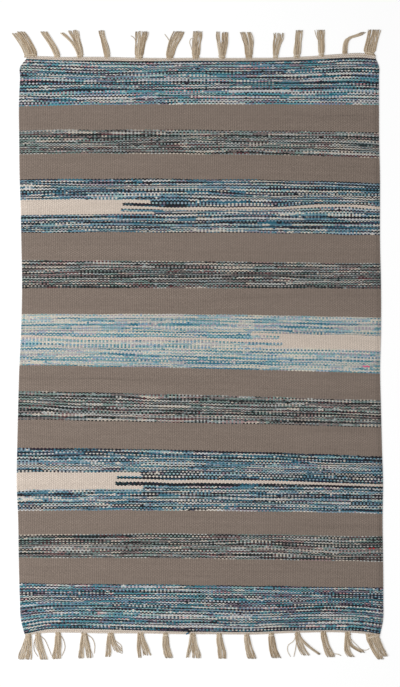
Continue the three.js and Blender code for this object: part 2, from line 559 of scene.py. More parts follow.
STRIPES: tuple[Stripe, ...] = (
    Stripe(Yarn.MIXED, 40, (-456, -460, -465)),
    Stripe(Yarn.TAUPE, 18, (-407, -409, -415)),
    Stripe(Yarn.CHARCOAL, 20, (-363, -362, -368)),
    Stripe(Yarn.TAUPE, 16, (-317, -317, -323)),
    Stripe(Yarn.BLUE, 17, (-277, -276, -281)),
    Stripe(Yarn.CREAM, 10, (-243, -245, -254), SOUTH_WIDE),
    Stripe(Yarn.BLUE, 18, (-196, -202, -213)),
    Stripe(Yarn.TAUPE, 19, (-142, -149, -157)),
    Stripe(Yarn.CHARCOAL, 22, (-88, -95, -106)),
    Stripe(Yarn.TAUPE, 18, (-38, -44, -54)),
    Stripe(Yarn.SKY, 16, (0, -2, -10)),
    Stripe(Yarn.CREAM, 10, (29, 25.5, 18.5), EAST_WIDE),
    Stripe(Yarn.SKY, 15, (60, 59, 53)),
    Stripe(Yarn.TAUPE, 18, (110, 110, 109)),
    Stripe(Yarn.CHARCOAL, 22, (163, 161, 156)),
    Stripe(Yarn.TAUPE, 19, (216, 217, 211)),
    Stripe(Yarn.BLUE, 16, (249, 253, 251)),
    Stripe(Yarn.CREAM, 10, (280, 279, 276), WEST_WIDE),
    Stripe(Yarn.BLUE, 16, (318, 319, 311)),
    Stripe(Yarn.TAUPE, 18, (367, 367, 359)),
    Stripe(Yarn.CHARCOAL, 20, (413, 413, 409)),
    Stripe(Yarn.TAUPE, 18, (459, 463, 462)),
    Stripe(Yarn.MIXED, 36, (548, 545, 549)),
)
ROWS = sum(stripe.picks for stripe in STRIPES) + 1


@dataclass(frozen=True)
class Accent:
    """A short length of odd yarn: where it lies, in millimetres, how many floats it shows and its tone."""

    across: float
    along: float
    floats: int = 2
    tone: float = 1.0


# ---- the cloth


@dataclass(frozen=True)
class Crossings:
    """What is known at each crossing of a pick and a warp end, in arrays of rows and warp ends.

    places holds three coordinates in metres, yarn the yarn's number, tone and ply the tones of the float's
    two plies from 0 to 1, and shade how light the float is: from -1 to 1, and lower in the selvedge grooves,
    where it is painted shade.
    """

    places: Array
    yarn: Array
    tone: Array
    ply: Array
    shade: Array

    @property
    def rows(self) -> int:
        """The number of rows of crossings."""
        return self.yarn.shape[0]

    @property
    def ends(self) -> int:
        """The number of warp ends."""
        return self.yarn.shape[1]

    @property
    def numbers(self) -> Array:
        """The crossings' own numbers, counted along each row in turn."""
        return np.arange(self.rows * self.ends).reshape(self.rows, self.ends)

    def between(self, first: int, last: int) -> "Crossings":
        """The crossings of the rows from first to last, both of them included."""
        kept = (self.places, self.yarn, self.tone, self.ply, self.shade)
        return Crossings(*(values[first : last + 1] for values in kept))


@dataclass(frozen=True)
class Lattice:
    """Where the crossings of the picks and the warp ends lie.

    Where the numbers of a row and a warp end add up to an even number the weft is on top and the crossing is
    high, and where they add up to an odd number it dips under and the crossing is low. A cell is how many
    rows and warp ends a slow random change takes from one hill to the next.
    """

    outline: Outline
    ends: int = 201
    seed: int = 41
    # The spacing of the warp ends, in shares of the width, and the room for the turns of weft beside them.
    crowded_from: float = 0.6
    crowded_over: float = 0.1
    crowding: float = 0.945
    uneven_ends: float = 0.03
    inset: float = 1.6
    # The sway and the wander of the picks and of the warp ends.
    row_sway: float = 2.2 * MM
    sway_cell: Cell = (16, 44)
    sway_limit: float = 1.6
    row_wander: float = 0.5 * MM
    row_cell: Cell = (5, 14)
    calm_rows: int = 8
    end_wander: float = 0.3 * MM
    end_cell: Cell = (28, 2)
    calm_ends: int = 3
    # Heights above the ground, and widths in warp ends.
    crown: float = 3.75 * MM
    dip: float = 0.8 * MM
    selvedge_height: float = 2.7 * MM
    selvedge_dip: float = 0.5
    selvedge_run: float = 1.3
    grooves: Span = (0.6 * MM, 1.1 * MM)
    groove_width: float = 0.8
    hills: float = 0.12 * MM
    hill_cell: Cell = (80, 28)

    def spread(self) -> Array:
        """Shares out the width to the warp ends, a little closer in the east third and slightly uneven.

        Returns:
            Where each warp end lies between the selvedges, from 0 to 1.
        """
        rng = np.random.default_rng(self.seed)
        place = np.linspace(0, 1, self.ends - 1)
        pitch = 1 + (self.crowding - 1) * np.clip((place - self.crowded_from) / self.crowded_over, 0, 1)
        pitch = pitch * (1 + self.uneven_ends * rng.normal(size=self.ends - 1))
        run = np.concatenate([[0.0], np.cumsum(pitch)])
        return run / run[-1]

    def across_at(self, along: Array, share: Array) -> Array:
        """Where the warp ends lie across the cloth, inside the turns of the weft.

        Args:
            along: how far along the cloth, in millimetres.
            share: where each warp end lies between the selvedges, from 0 to 1.

        Returns:
            The places across, in millimetres.
        """
        west = self.outline.selvedge(Side.WEST, along) + self.inset
        east = self.outline.selvedge(Side.EAST, along) - self.inset
        return west + share * (east - west)

    def even_rows(self, share: Array) -> tuple[Array, Array]:
        """Where the rows lie along the cloth before they wander.

        A stripe's picks share out the room between its south and north lines evenly.

        Args:
            share: where each warp end lies between the selvedges, from 0 to 1.

        Returns:
            The places along in millimetres, in an array of rows and warp ends, and how far each row lies
            through its stripe, from 0 to 1, in a column.
        """
        edges = [partial(self.outline.edge, End.SOUTH)]
        edges += [stripe.edge for stripe in STRIPES[:-1]]
        edges += [partial(self.outline.edge, End.NORTH)]
        even = -HALF_WIDTH + 2 * HALF_WIDTH * share
        lines = np.array([edge(self.across_at(edge(even), share)) for edge in edges])
        starts = np.concatenate([[0], np.cumsum([stripe.picks for stripe in STRIPES])])
        row = np.arange(ROWS)
        stripe = np.clip(np.searchsorted(starts, row, side="right") - 1, 0, len(STRIPES) - 1)
        part = ((row - starts[stripe]) / (starts[stripe + 1] - starts[stripe]))[:, None]
        return lines[stripe] * (1 - part) + lines[stripe + 1] * part, part

    def places(self) -> tuple[Array, Array]:
        """Where every crossing lies, across and along, in millimetres.

        The rows sway slowly, most of all midway through their stripe, by four times part times (1 - part),
        and wander a little. Across, each warp end keeps its share of the width between the two selvedges
        there, and wanders too, less so beside the selvedges.

        Returns:
            Two arrays of rows and warp ends.
        """
        rng = np.random.default_rng(self.seed + 1)
        share = self.spread()
        along, part = self.even_rows(share)
        row, end = np.arange(ROWS), np.arange(self.ends)
        sway = np.clip(soft_noise(rng, along.shape, self.sway_cell), -self.sway_limit, self.sway_limit)
        wander = sway * 4 * part * (1 - part) * self.row_sway
        calm = np.clip(np.minimum(row, row[::-1]) / self.calm_rows, 0, 1)[:, None]
        wander += soft_noise(rng, along.shape, self.row_cell) * calm * self.row_wander
        along = along + wander / MM
        inner = np.clip(np.minimum(end, end[::-1]) / self.calm_ends, 0, 1)
        drift = soft_noise(rng, along.shape, self.end_cell) * inner * self.end_wander
        return self.across_at(along, share) + drift / MM, along

    def heights(self) -> Array:
        """The height of every crossing above the ground: high on a float, low between floats.

        The cloth thins out exponentially towards the selvedges, a shallow groove runs beside each of them,
        and slight hills lie between.

        Returns:
            Heights in metres, in an array of rows and warp ends.
        """
        rng = np.random.default_rng(self.seed + 2)
        row, end = np.indices((ROWS, self.ends))
        low = (row + end) % 2
        fade = np.exp(-np.minimum(end, self.ends - 1 - end) / self.selvedge_run)
        top = self.crown - low * self.dip * (1 - self.selvedge_dip * fade)
        top = top * (1 - fade) + (self.selvedge_height - self.selvedge_dip * low * self.dip) * fade
        for groove, middle in zip(self.grooves, (GROOVE_END, self.ends - 1 - GROOVE_END)):
            top = top - groove * np.exp(-(((end - middle) / self.groove_width) ** 2))
        hills = soft_noise(rng, (ROWS, self.ends), self.hill_cell) * self.hills
        return top + hills * (1 - fade)


@dataclass(frozen=True)
class DyePlan:
    """Which dye shows at every crossing, and how light or dark it is there.

    Runs are mean numbers of warp ends, chances and spreads go from 0 to 1, and a cell is how many rows and
    warp ends a slow change takes.
    """

    ends: int
    turns: tuple[float, ...] = (0.25, 0.5, 0.22, 0.03)
    dark_picks: int = 3
    edge_picks: int = 1
    dye_run: float = 9
    crossed_run: float = 22
    crossed: float = 0.04
    paired_run: float = 26
    paired: float = 0.85
    pair_spread: float = 0.6
    last_tone: float = 0.995
    lone: float = 0.015
    ply_run: float = 8
    odd_ply: float = 0.3
    shade_spread: float = 0.45
    shade_hills: float = 0.2
    shade_cell: Cell = (10, 30)
    # How far the floats in the selvedge grooves are darkened, as painted shade.
    groove_shades: Span = (-1.2, -2.4)
    seed: int = 45

    def runs(self, rng: Generator, length: float) -> Array:
        """A random number for every crossing that stays the same for a run along its pick.

        A new run starts at each warp end with a chance of one in length.

        Args:
            rng: the random source.
            length: the mean run, in warp ends.

        Returns:
            Numbers from 0 to 1, in an array of rows and warp ends.
        """
        number = np.cumsum(rng.random((ROWS, self.ends)) < 1 / length, axis=1)
        values = rng.random((ROWS, self.ends + 1))
        return np.take_along_axis(values, number, axis=1)

    def dark_rows(self) -> list[int]:
        """Finds the rows with darker dyes only: beside the headings and on both sides of each cream line.

        Returns:
            The rows' numbers.
        """
        rows = [*range(self.dark_picks), *range(ROWS - self.dark_picks, ROWS)]
        start = 0
        for stripe in STRIPES:
            if stripe.inlay is not None:
                line, after = (start + pick for pick in stripe.inlay.line(stripe.picks))
                rows += [*range(line - self.edge_picks, line), *range(after, after + self.edge_picks)]
            start += stripe.picks
        return rows

    def tones(self) -> tuple[Array, Array, Array]:
        """The tone, second-ply tone and shade of every crossing.

        Two shuttles take turns of one to four picks, never two single picks in a row: one has the dyes of the
        darker half, the other those of the lighter half. Along a pick the dye lasts for a run of warp ends.
        In most runs all picks of a turn have dyes close to the one they share, and in the rest each has its
        own. In some runs the two shuttles have changed places, and a few lone floats have a tone of their
        own. The floats in the selvedge grooves get painted shade.

        Returns:
            Three arrays of rows and warp ends. Tones go from 0 to 1, and shades from -1 to 1 or lower.
        """
        rng = np.random.default_rng(self.seed)
        turns = rng.choice(len(self.turns), size=ROWS, p=self.turns) + 1
        turns[1:] += (turns[1:] == 1) & (turns[:-1] == 1)
        turn = np.repeat(np.arange(ROWS), turns)[:ROWS]
        light = (turn % 2 == 1)[:, None] ^ (self.runs(rng, self.crossed_run) < self.crossed)
        light[self.dark_rows()] = False
        shared, own = self.runs(rng, self.dye_run)[turn], self.runs(rng, self.dye_run)
        near = np.clip(shared + self.pair_spread * (own - 0.5), 0, self.last_tone)
        dye = np.where(self.runs(rng, self.paired_run) < self.paired, near, own)
        tone = (dye + light) / 2
        shape = tone.shape
        tone = np.where(rng.random(shape) < self.lone, rng.random(shape), tone)
        ply = np.where(self.runs(rng, self.ply_run) < self.odd_ply, rng.random(shape), tone)
        shade = rng.normal(size=shape) * self.shade_spread
        shade = shade + soft_noise(rng, shape, self.shade_cell) * self.shade_hills
        shade = np.clip(shade, -1, 1)
        # Painted shade in the two selvedge grooves.
        shade[:, [GROOVE_END, self.ends - 1 - GROOVE_END]] += self.groove_shades
        return tone, ply, shade


@dataclass(frozen=True)
class Weave:
    """The weave of the whole cloth, with three short lengths of odd yarn in it."""

    outline: Outline
    accents: tuple[Accent, ...] = (Accent(313, -40), Accent(315, -41.2), Accent(322, -391))

    def crossings(self) -> Crossings:
        """Works out every crossing of the cloth.

        Returns:
            The crossings, with their places in the frame's coordinates.
        """
        lattice = Lattice(self.outline)
        across, along = lattice.places()
        shift = self.outline.shift()
        places = np.stack([across * MM + shift[0], along * MM + shift[1], lattice.heights()], axis=-1)
        tone, ply, shade = DyePlan(lattice.ends).tones()
        for accent in self.accents:
            gap = (across - accent.across) ** 2 + (along - accent.along) ** 2
            row, end = divmod(int(np.argmin(gap)), lattice.ends)
            floats = slice(end, end + 2 * accent.floats)
            tone[row, floats] = accent.tone
            ply[row, floats] = accent.tone
        return Crossings(places, self.yarns(across.mean(axis=0)), tone, ply, shade)

    @staticmethod
    def yarns(across: Array) -> Array:
        """The yarn of every crossing.

        Args:
            across: where each warp end lies, in millimetres.

        Returns:
            Yarn numbers, in an array of rows and warp ends.
        """
        blocks = [
            np.full((stripe.picks, len(across)), int(stripe.yarn))
            if stripe.inlay is None
            else stripe.inlay.yarns(across, stripe.picks)
            for stripe in STRIPES
        ]
        rows = np.concatenate(blocks)
        return np.concatenate([rows, rows[-1:]])


@dataclass(frozen=True)
class ClothLength:
    """One closed length of the cloth, from the join to one end of the rug.

    The upper side is the lattice of crossings, each cell split from low point to low point, so that every
    triangle belongs to one float. Two rings of points follow its outline: one at mid-height, pushed out to a
    rounded turn of weft at every second row of a selvedge, and one on the ground. The underside is a coarse
    flat lattice whose outer cells take in all the points of the lower ring.
    """

    end: End
    known: Crossings
    waist: float = 1.7 * MM
    turn_long: float = 2.0 * MM
    turn_short: float = 1.1 * MM
    end_bulge: float = 0.35 * MM
    foot_share: float = 0.3
    step_row: int = 4
    step_end: int = 5
    top_room: MapRoom = MapRoom((0.005, 0.155), (0.99, 0.84))
    wall_rooms: tuple[MapRoom, MapRoom] = (
        MapRoom((0.005, 0.143), (0.99, 0.005)),
        MapRoom((0.005, 0.137), (0.99, 0.005)),
    )
    under_room: MapRoom = MapRoom((0.005, 0.005), (0.99, 0.125))

    def ring(self) -> Array:
        """The numbers of the outline's crossings, anticlockwise from above, starting in the south-west."""
        number = self.known.numbers
        return np.concatenate([number[0], number[1:, -1], number[-1, -2::-1], number[-2:0:-1, 0]])

    def pushed_out(self) -> Array:
        """Pushes the mid-height ring out past the upper outline, furthest at the turns of the weft.

        Returns:
            How far each of its points moves across and along, in metres.
        """
        row, end = np.divmod(self.ring(), self.known.ends)
        side = np.select([end == 0, end == self.known.ends - 1], [-1.0, 1.0], 0.0)
        last_row = 0 if self.end is End.SOUTH else self.known.rows - 1
        across = side * np.where(row % 2 == 0, self.turn_long, self.turn_short)
        along = np.where((side == 0) & (row == last_row), self.end.outwards * self.end_bulge, 0.0)
        return np.column_stack([across, along])

    def top_faces(self) -> tuple[Array, Array, Array]:
        """The triangles of the upper side, the crossing whose float each belongs to and the one beside it.

        Returns:
            Corner numbers, three to a face, then the own crossings and those across each long edge.
        """
        number = self.known.numbers
        sw, se = number[:-1, :-1].ravel(), number[:-1, 1:].ravel()
        nw, ne = number[1:, :-1].ravel(), number[1:, 1:].ravel()
        row, end = np.indices((self.known.rows - 1, self.known.ends - 1))
        even = ((row + end) % 2 == 0).ravel()[:, None]
        first = np.where(even, np.stack([sw, se, nw], 1), np.stack([se, ne, sw], 1))
        second = np.where(even, np.stack([ne, nw, se], 1), np.stack([nw, sw, ne], 1))
        own = np.concatenate([first[:, 0], second[:, 0]])
        return np.concatenate([first, second]), own, np.roll(own, len(first))

    def wall_faces(self, first_waist: int, first_ground: int) -> tuple[Array, Array]:
        """The two bands of faces between the upper outline, the mid-height ring and the ground ring.

        Args:
            first_waist: the number of the mid-height ring's first point.
            first_ground: the number of the ground ring's first point.

        Returns:
            The corner numbers of the upper band and those of the lower one.
        """
        ring = self.ring()
        k = np.arange(len(ring))
        after = np.roll(k, -1)
        upper = np.stack([ring, first_waist + k, first_waist + after, ring[after]], 1)
        lower = np.stack([first_waist + k, first_ground + k, first_ground + after, first_waist + after], 1)
        return upper, lower

    def under_faces(self, below: Array) -> list[tuple[Array, Array]]:
        """The faces of the underside, seen from below, and the crossing above each.

        Args:
            below: the number of the point under each crossing, or -1 where the underside has none.

        Returns:
            Pairs of corner numbers and crossing numbers, one pair for each kind of cell.
        """
        tall, wide = self.step_row, self.step_end
        row_cells = np.arange(0, self.known.rows - 1, tall)
        end_cells = np.arange(0, self.known.ends - 1, wide)
        kinds = []
        for rows in (row_cells[:1], row_cells[1:-1], row_cells[-1:]):
            for ends in (end_cells[:1], end_cells[1:-1], end_cells[-1:]):
                west = [(i, 0) for i in range(1, tall)] if ends[0] == 0 else []
                north = [(tall, i) for i in range(1, wide)] if rows[-1] == row_cells[-1] else []
                east = [(i, wide) for i in range(tall - 1, 0, -1)] if ends[-1] == end_cells[-1] else []
                south = [(0, i) for i in range(wide - 1, 0, -1)] if rows[0] == 0 else []
                path = [(0, 0), *west, (tall, 0), *north, (tall, wide), *east, (0, wide), *south]
                r, e = (grid.ravel() for grid in np.meshgrid(rows, ends, indexing="ij"))
                corner = np.stack([below[r + dr, e + de] for dr, de in path], axis=1)
                kinds.append((corner, (r + tall // 2) * self.known.ends + e + wide // 2))
        return kinds

    def build(self) -> Object:
        """Makes the length's mesh, with its maps, its yarns and its tones.

        Returns:
            The placed piece, still without materials.
        """
        top = self.known.places.reshape(-1, 3)
        ring = self.ring()
        count = len(ring)
        out = self.pushed_out()
        waist = np.column_stack([top[ring, :2] + out, np.full(count, self.waist)])
        ground = np.column_stack([top[ring, :2] + out * self.foot_share, np.zeros(count)])
        inner = self.known.numbers[self.step_row : -1 : self.step_row, self.step_end : -1 : self.step_end]
        inner = inner.ravel()
        under = np.column_stack([top[inner, :2], np.zeros(len(inner))])
        first_waist = len(top)
        first_ground, first_under = first_waist + count, first_waist + 2 * count
        below = np.full(len(top), -1)
        below[ring] = first_ground + np.arange(count)
        below[inner] = first_under + np.arange(len(inner))

        tops, owners, besides = self.top_faces()
        unders = self.under_faces(below.reshape(self.known.rows, self.known.ends))
        faces = [tops, *self.wall_faces(first_waist, first_ground)] + [corner for corner, _ in unders]
        rest = np.concatenate([ring, ring] + [middle for _, middle in unders])
        points = np.concatenate([top, waist, ground, under])
        mesh = make_mesh(f"woven_cloth_{self.end.title}", points, faces)
        self.dye(mesh, np.concatenate([owners, rest]), np.concatenate([besides, rest]))
        self.add_maps(mesh, faces, inner)
        self.shade(mesh, len(tops))
        return place_piece(mesh, PANEL_NODE)

    def dye(self, mesh: Mesh, owner: Array, beside: Array) -> None:
        """Gives every face the yarn and the tones of its float.

        Args:
            mesh: the length's mesh.
            owner: the crossing whose float each face belongs to.
            beside: the crossing beside it, whose tone counts only where its yarn is the same.
        """
        yarn, tone = self.known.yarn.ravel(), self.known.tone.ravel()
        mesh.polygons.foreach_set("material_index", yarn[owner].astype(np.int32))
        add_face_value(mesh, "tone", tone[owner])
        add_face_value(mesh, "beside", tone[np.where(yarn[beside] == yarn[owner], beside, owner)])
        add_face_value(mesh, "ply", self.known.ply.ravel()[owner])
        add_face_value(mesh, "shade", self.known.shade.ravel()[owner])

    def shade(self, mesh: Mesh, tops: int) -> None:
        """Shades the upper side and the outer walls smooth, and the join's wall and the underside flat.

        Args:
            mesh: the length's mesh.
            tops: how many faces the upper side has.
        """
        row = self.ring() // self.known.ends
        join = self.known.rows - 1 if self.end is End.SOUTH else 0
        on_join = (row == join) & (np.roll(row, -1) == join)
        smooth = np.zeros(len(mesh.polygons), dtype=bool)
        smooth[:tops] = True
        smooth[tops : tops + 2 * len(row)] = np.tile(~on_join, 2)
        mesh.polygons.foreach_set("use_smooth", smooth)

    def add_maps(self, mesh: Mesh, faces: Sequence[Array], inner: Array) -> None:
        """Gives the length its weave map, in warp ends and picks, and a map that spreads it for a bake.

        On the bake map the upper side takes most of the room, with the picks side by side along the longer
        way, the underside a strip below it, and the outline's wall two thin ribbons between them.

        Args:
            mesh: the length's mesh.
            faces: its arrays of faces: upper side, two bands of wall, then the underside.
            inner: the crossings above the underside's inner points.
        """
        ring = self.ring()
        crossing = np.concatenate([self.known.numbers.ravel(), ring, ring, inner])
        row, end = np.divmod(crossing, self.known.ends)
        corner = np.concatenate([f.ravel() for f in faces])
        add_map(mesh, WEAVE_MAP, np.stack([end, row], axis=-1).astype(float)[corner])
        share = np.stack([row / (self.known.rows - 1), end / (self.known.ends - 1)], axis=-1)[corner]
        k = np.arange(len(ring))[:, None]
        run = np.concatenate([k, k, k + 1, k + 1], axis=1) / len(ring)
        ribbon = np.stack([run, np.broadcast_to([1, 0, 0, 1], run.shape)], axis=-1).reshape(-1, 2)
        top, below_walls = faces[0].size, sum(f.size for f in faces[:3])
        rooms = [self.top_room.place(share[:top])]
        rooms += [room.place(ribbon) for room in self.wall_rooms]
        rooms += [self.under_room.place(share[below_walls:])]
        add_map(mesh, BAKE_MAP, np.concatenate(rooms))
        show_map(mesh, WEAVE_MAP)


# ---- headings


@dataclass(frozen=True)
class TwinedHeading:
    """The heading along one end: two cords of two plies each, lying side by side over a flat core.

    Sizes without a unit are shares of the heading's width, and the gap at the corners is in millimetres.
    """

    outline: Outline
    end: End
    samples: int = 760
    corner_gap: float = 1.0
    cord_places: Span = (0.26, 0.76)
    cord_height: float = 2.3 * MM
    plies: int = 2
    ply_offset: float = 0.125
    ply_radius: float = 0.155
    twist: float = 7.0 * MM
    yarn_twist: float = 3.5 * MM
    start_turn: float = 6.0
    sag: float = 0.04
    sag_cell: int = 38
    core_height: float = 1.25 * MM
    core_swell: float = 0.95
    core_radius: float = 0.46
    core_step: int = 8
    tone_spread: float = 0.5
    first_tone: float = 0.25
    seed: int = 5

    def build(self) -> Object:
        """Makes the heading.

        A ply's centre circles its cord's centre once for each length of twist, the two cords in opposite
        directions; a cord's centre keeps its share of the heading's width from the cloth and sags a little.

        Returns:
            The placed piece, still without a material.
        """
        rng = np.random.default_rng(self.seed + (self.end is End.NORTH))
        table = self.outline.end_table(self.end)
        across = np.linspace(table[0, 0] + self.corner_gap, table[-1, 0] - self.corner_gap, self.samples)
        width = self.outline.heading(self.end, across) * MM
        edge = self.outline.edge(self.end, across) * MM
        shift = self.outline.shift()
        run = np.concatenate([[0.0], np.cumsum(np.hypot(np.diff(across) * MM, np.diff(edge)))])
        sag = self.sag * width * soft_noise(rng, (1, self.samples), (1, self.sag_cell))[0]
        x = across * MM + shift[0]
        centres, radii = [], []
        for place, hand in zip(self.cord_places, (1, -1)):
            middle = edge + self.end.outwards * (width * place + sag)
            turn = 2 * np.pi * run / self.twist * hand + rng.uniform(0, self.start_turn)
            for ply in range(self.plies):
                angle = turn + 2 * np.pi * ply / self.plies
                offset = self.ply_offset * width
                y = middle + offset * np.cos(angle) + shift[1]
                centres.append(np.stack([x, y, self.cord_height + offset * np.sin(angle)], axis=-1))
                radii.append(self.ply_radius * width)
        cords = Tubes(np.array(centres), np.array(radii))
        y = edge + self.end.outwards * (0.5 * width) + shift[1]
        core = np.stack([x, y, np.full(self.samples, self.core_height)], axis=-1)[:: self.core_step]
        ribbon = Tubes(core[None], (self.core_radius * width)[None, :: self.core_step])
        tones = rng.random(self.plies * 2 + 1) * self.tone_spread + self.first_tone
        mesh = join_tubes(f"{self.end.title}_heading", [cords, ribbon], self.yarn_twist, tones)
        self.press_core(mesh, cords.radii.size * cords.sides)
        return place_piece(mesh, self.end.node)

    def press_core(self, mesh: Mesh, first: int) -> None:
        """Flattens the core, whose points start at a number, to its own height above the ground.

        Args:
            mesh: the heading's mesh.
            first: the number of the core's first point.
        """
        places = np.empty(len(mesh.vertices) * 3, dtype=np.float32)
        mesh.vertices.foreach_get("co", places)
        places = places.reshape(-1, 3)
        core = places[first:, 2]
        rise = (core - self.core_height) / np.abs(core - self.core_height).max()
        places[first:, 2] = self.core_height * (1 + self.core_swell * rise)
        mesh.vertices.foreach_set("co", places.ravel())
        mesh.update()


# ---- tassels


@dataclass(frozen=True)
class Lock:
    """A group of strands that leave a tassel's root together.

    Sizes are in millimetres: tip and width say where the ends lie across the rug, reach how far they lie from
    the heading, bow how far the middle swings sideways, and root how far from the tassel's middle it starts.
    """

    strands: int
    tip: float
    width: float
    reach: float
    bow: float = 0.0
    root: float = 0.0
    ragged: float = 1.2


@dataclass(frozen=True)
class Tassel:
    """One tassel: where its root lies across the rug and how wide it is, its knee, its locks and its strays.

    A stray is one loose strand, given as the (across, out) places it passes through, in millimetres.
    """

    root: float
    root_width: float
    knee: float
    locks: tuple[Lock, ...]
    strays: tuple[Places, ...] = ()


SOUTH_TASSELS: tuple[Tassel, ...] = (
    Tassel(-330, 14, 12, (Lock(15, -338, 25, 48),)),
    Tassel(-312, 13, 16, (Lock(11, -301, 16, 50),), (
        ((-315, 2), (-318, 12), (-316, 25), (-311, 36)),
        ((-314, 2), (-319, 16), (-319, 32), (-312, 44)),
        ((-310, 2), (-300, 10), (-292, 26), (-286, 42)),
    )),
    Tassel(-273, 13, 20, (Lock(14, -276, 17, 51),), (((-270, 2), (-263, 14), (-260, 28), (-266, 45)),)),
    Tassel(-223, 14, 20, (Lock(7, -229, 11, 50, -3, -2), Lock(8, -213, 12, 49, 3, 2, 3.0)), (
        ((-219, 2), (-207, 12), (-203, 24), (-204, 40)),
    )),
    Tassel(-172, 14, 20, (Lock(6, -178, 12, 46, 0, -3), Lock(7, -157, 18, 38, -2, 2, 3.0)), (
        ((-169, 3), (-163, 14), (-152, 24), (-150, 36)),
        ((-170, 3), (-168, 20), (-160, 34), (-150, 39)),
    )),
    Tassel(-115, 14, 14, (Lock(6, -117, 8, 47, -2, -3), Lock(9, -101, 15, 43, 1, 2, 2.5))),
    Tassel(-67, 13, 18, (Lock(14, -60, 16, 47, -4),)),
    Tassel(-15, 13, 20, (Lock(5, -25, 8, 46, -1, -3), Lock(10, -7, 17, 47, 1, 2))),
    Tassel(36, 13, 20, (Lock(14, 42, 17, 47, 2),)),
    Tassel(89, 12, 16, (Lock(14, 99, 17, 47, -1),)),
    Tassel(136, 13, 16, (Lock(13, 146, 17, 47, -3),)),
    Tassel(186, 14, 14, (Lock(8, 203, 16, 44, -4), Lock(4, 228, 6, 42, -2, 2)), (
        ((184, 2), (178, 16), (168, 24), (167, 34), (173, 46)),
        ((185, 2), (184, 18), (182, 32), (179, 46)),
    )),
    Tassel(236, 13, 12, (Lock(13, 251, 16, 48, -3),), (((246, 34), (256, 41), (264, 42), (270, 45)),)),
    Tassel(283, 14, 26, (Lock(7, 290, 13, 47, -9, -2), Lock(7, 311, 10, 39, -11, 1, 3.0)), (
        ((287, 10), (298, 22), (312, 33), (320, 33), (324, 30)),
    )),
    Tassel(331, 29, 12, (Lock(10, 346, 13, 47, -1, -6), Lock(9, 354, 12, 42, 1, 5))),
)

NORTH_TASSELS: tuple[Tassel, ...] = (
    Tassel(-325, 26, 12, (Lock(9, -356, 14, 45, 3, -6), Lock(9, -345, 14, 48, 3, 5))),
    Tassel(-275, 14, 14, (Lock(13, -301, 13, 49, -1),)),
    Tassel(-231, 16, 18, (
        Lock(5, -266, 9, 47, 5, -3),
        Lock(5, -251, 8, 51, 1, -1),
        Lock(8, -240, 12, 52, -1, 2),
    )),
    Tassel(-179, 14, 18, (Lock(13, -190, 12, 52, -2),)),
    Tassel(-118, 18, 20, (Lock(15, -112, 24, 52, 1),), (
        ((-120, 3), (-124, 22), (-127, 38), (-134, 43)),
    )),
    Tassel(-59, 17, 16, (Lock(14, -41, 22, 52, -2),), (((-58, 6), (-57, 24), (-63, 38), (-69, 46)),)),
    Tassel(-9, 17, 20, (Lock(14, -4, 21, 52),), (
        ((-13, 3), (-18, 20), (-21, 32), (-17, 38), (-12, 36)),
    )),
    Tassel(41, 16, 20, (Lock(6, 33, 9, 51, -3, -2), Lock(9, 46, 13, 50, 5, 2))),
    Tassel(93, 16, 20, (Lock(14, 87, 22, 50, 4),)),
    Tassel(144, 12, 20, (Lock(13, 150, 20, 48, 2, 0, 2.5),)),
    Tassel(185, 16, 20, (Lock(14, 189, 14, 52, 1),)),
    Tassel(232, 13, 20, (Lock(12, 230, 15, 50, 1),), (((230, 4), (229, 22), (222, 38), (219, 49)),)),
    Tassel(277, 11, 38, (Lock(12, 312, 11, 42, -14, 0, 2.8),)),
    Tassel(324, 25, 18, (Lock(18, 334, 25, 48, 2),)),
)


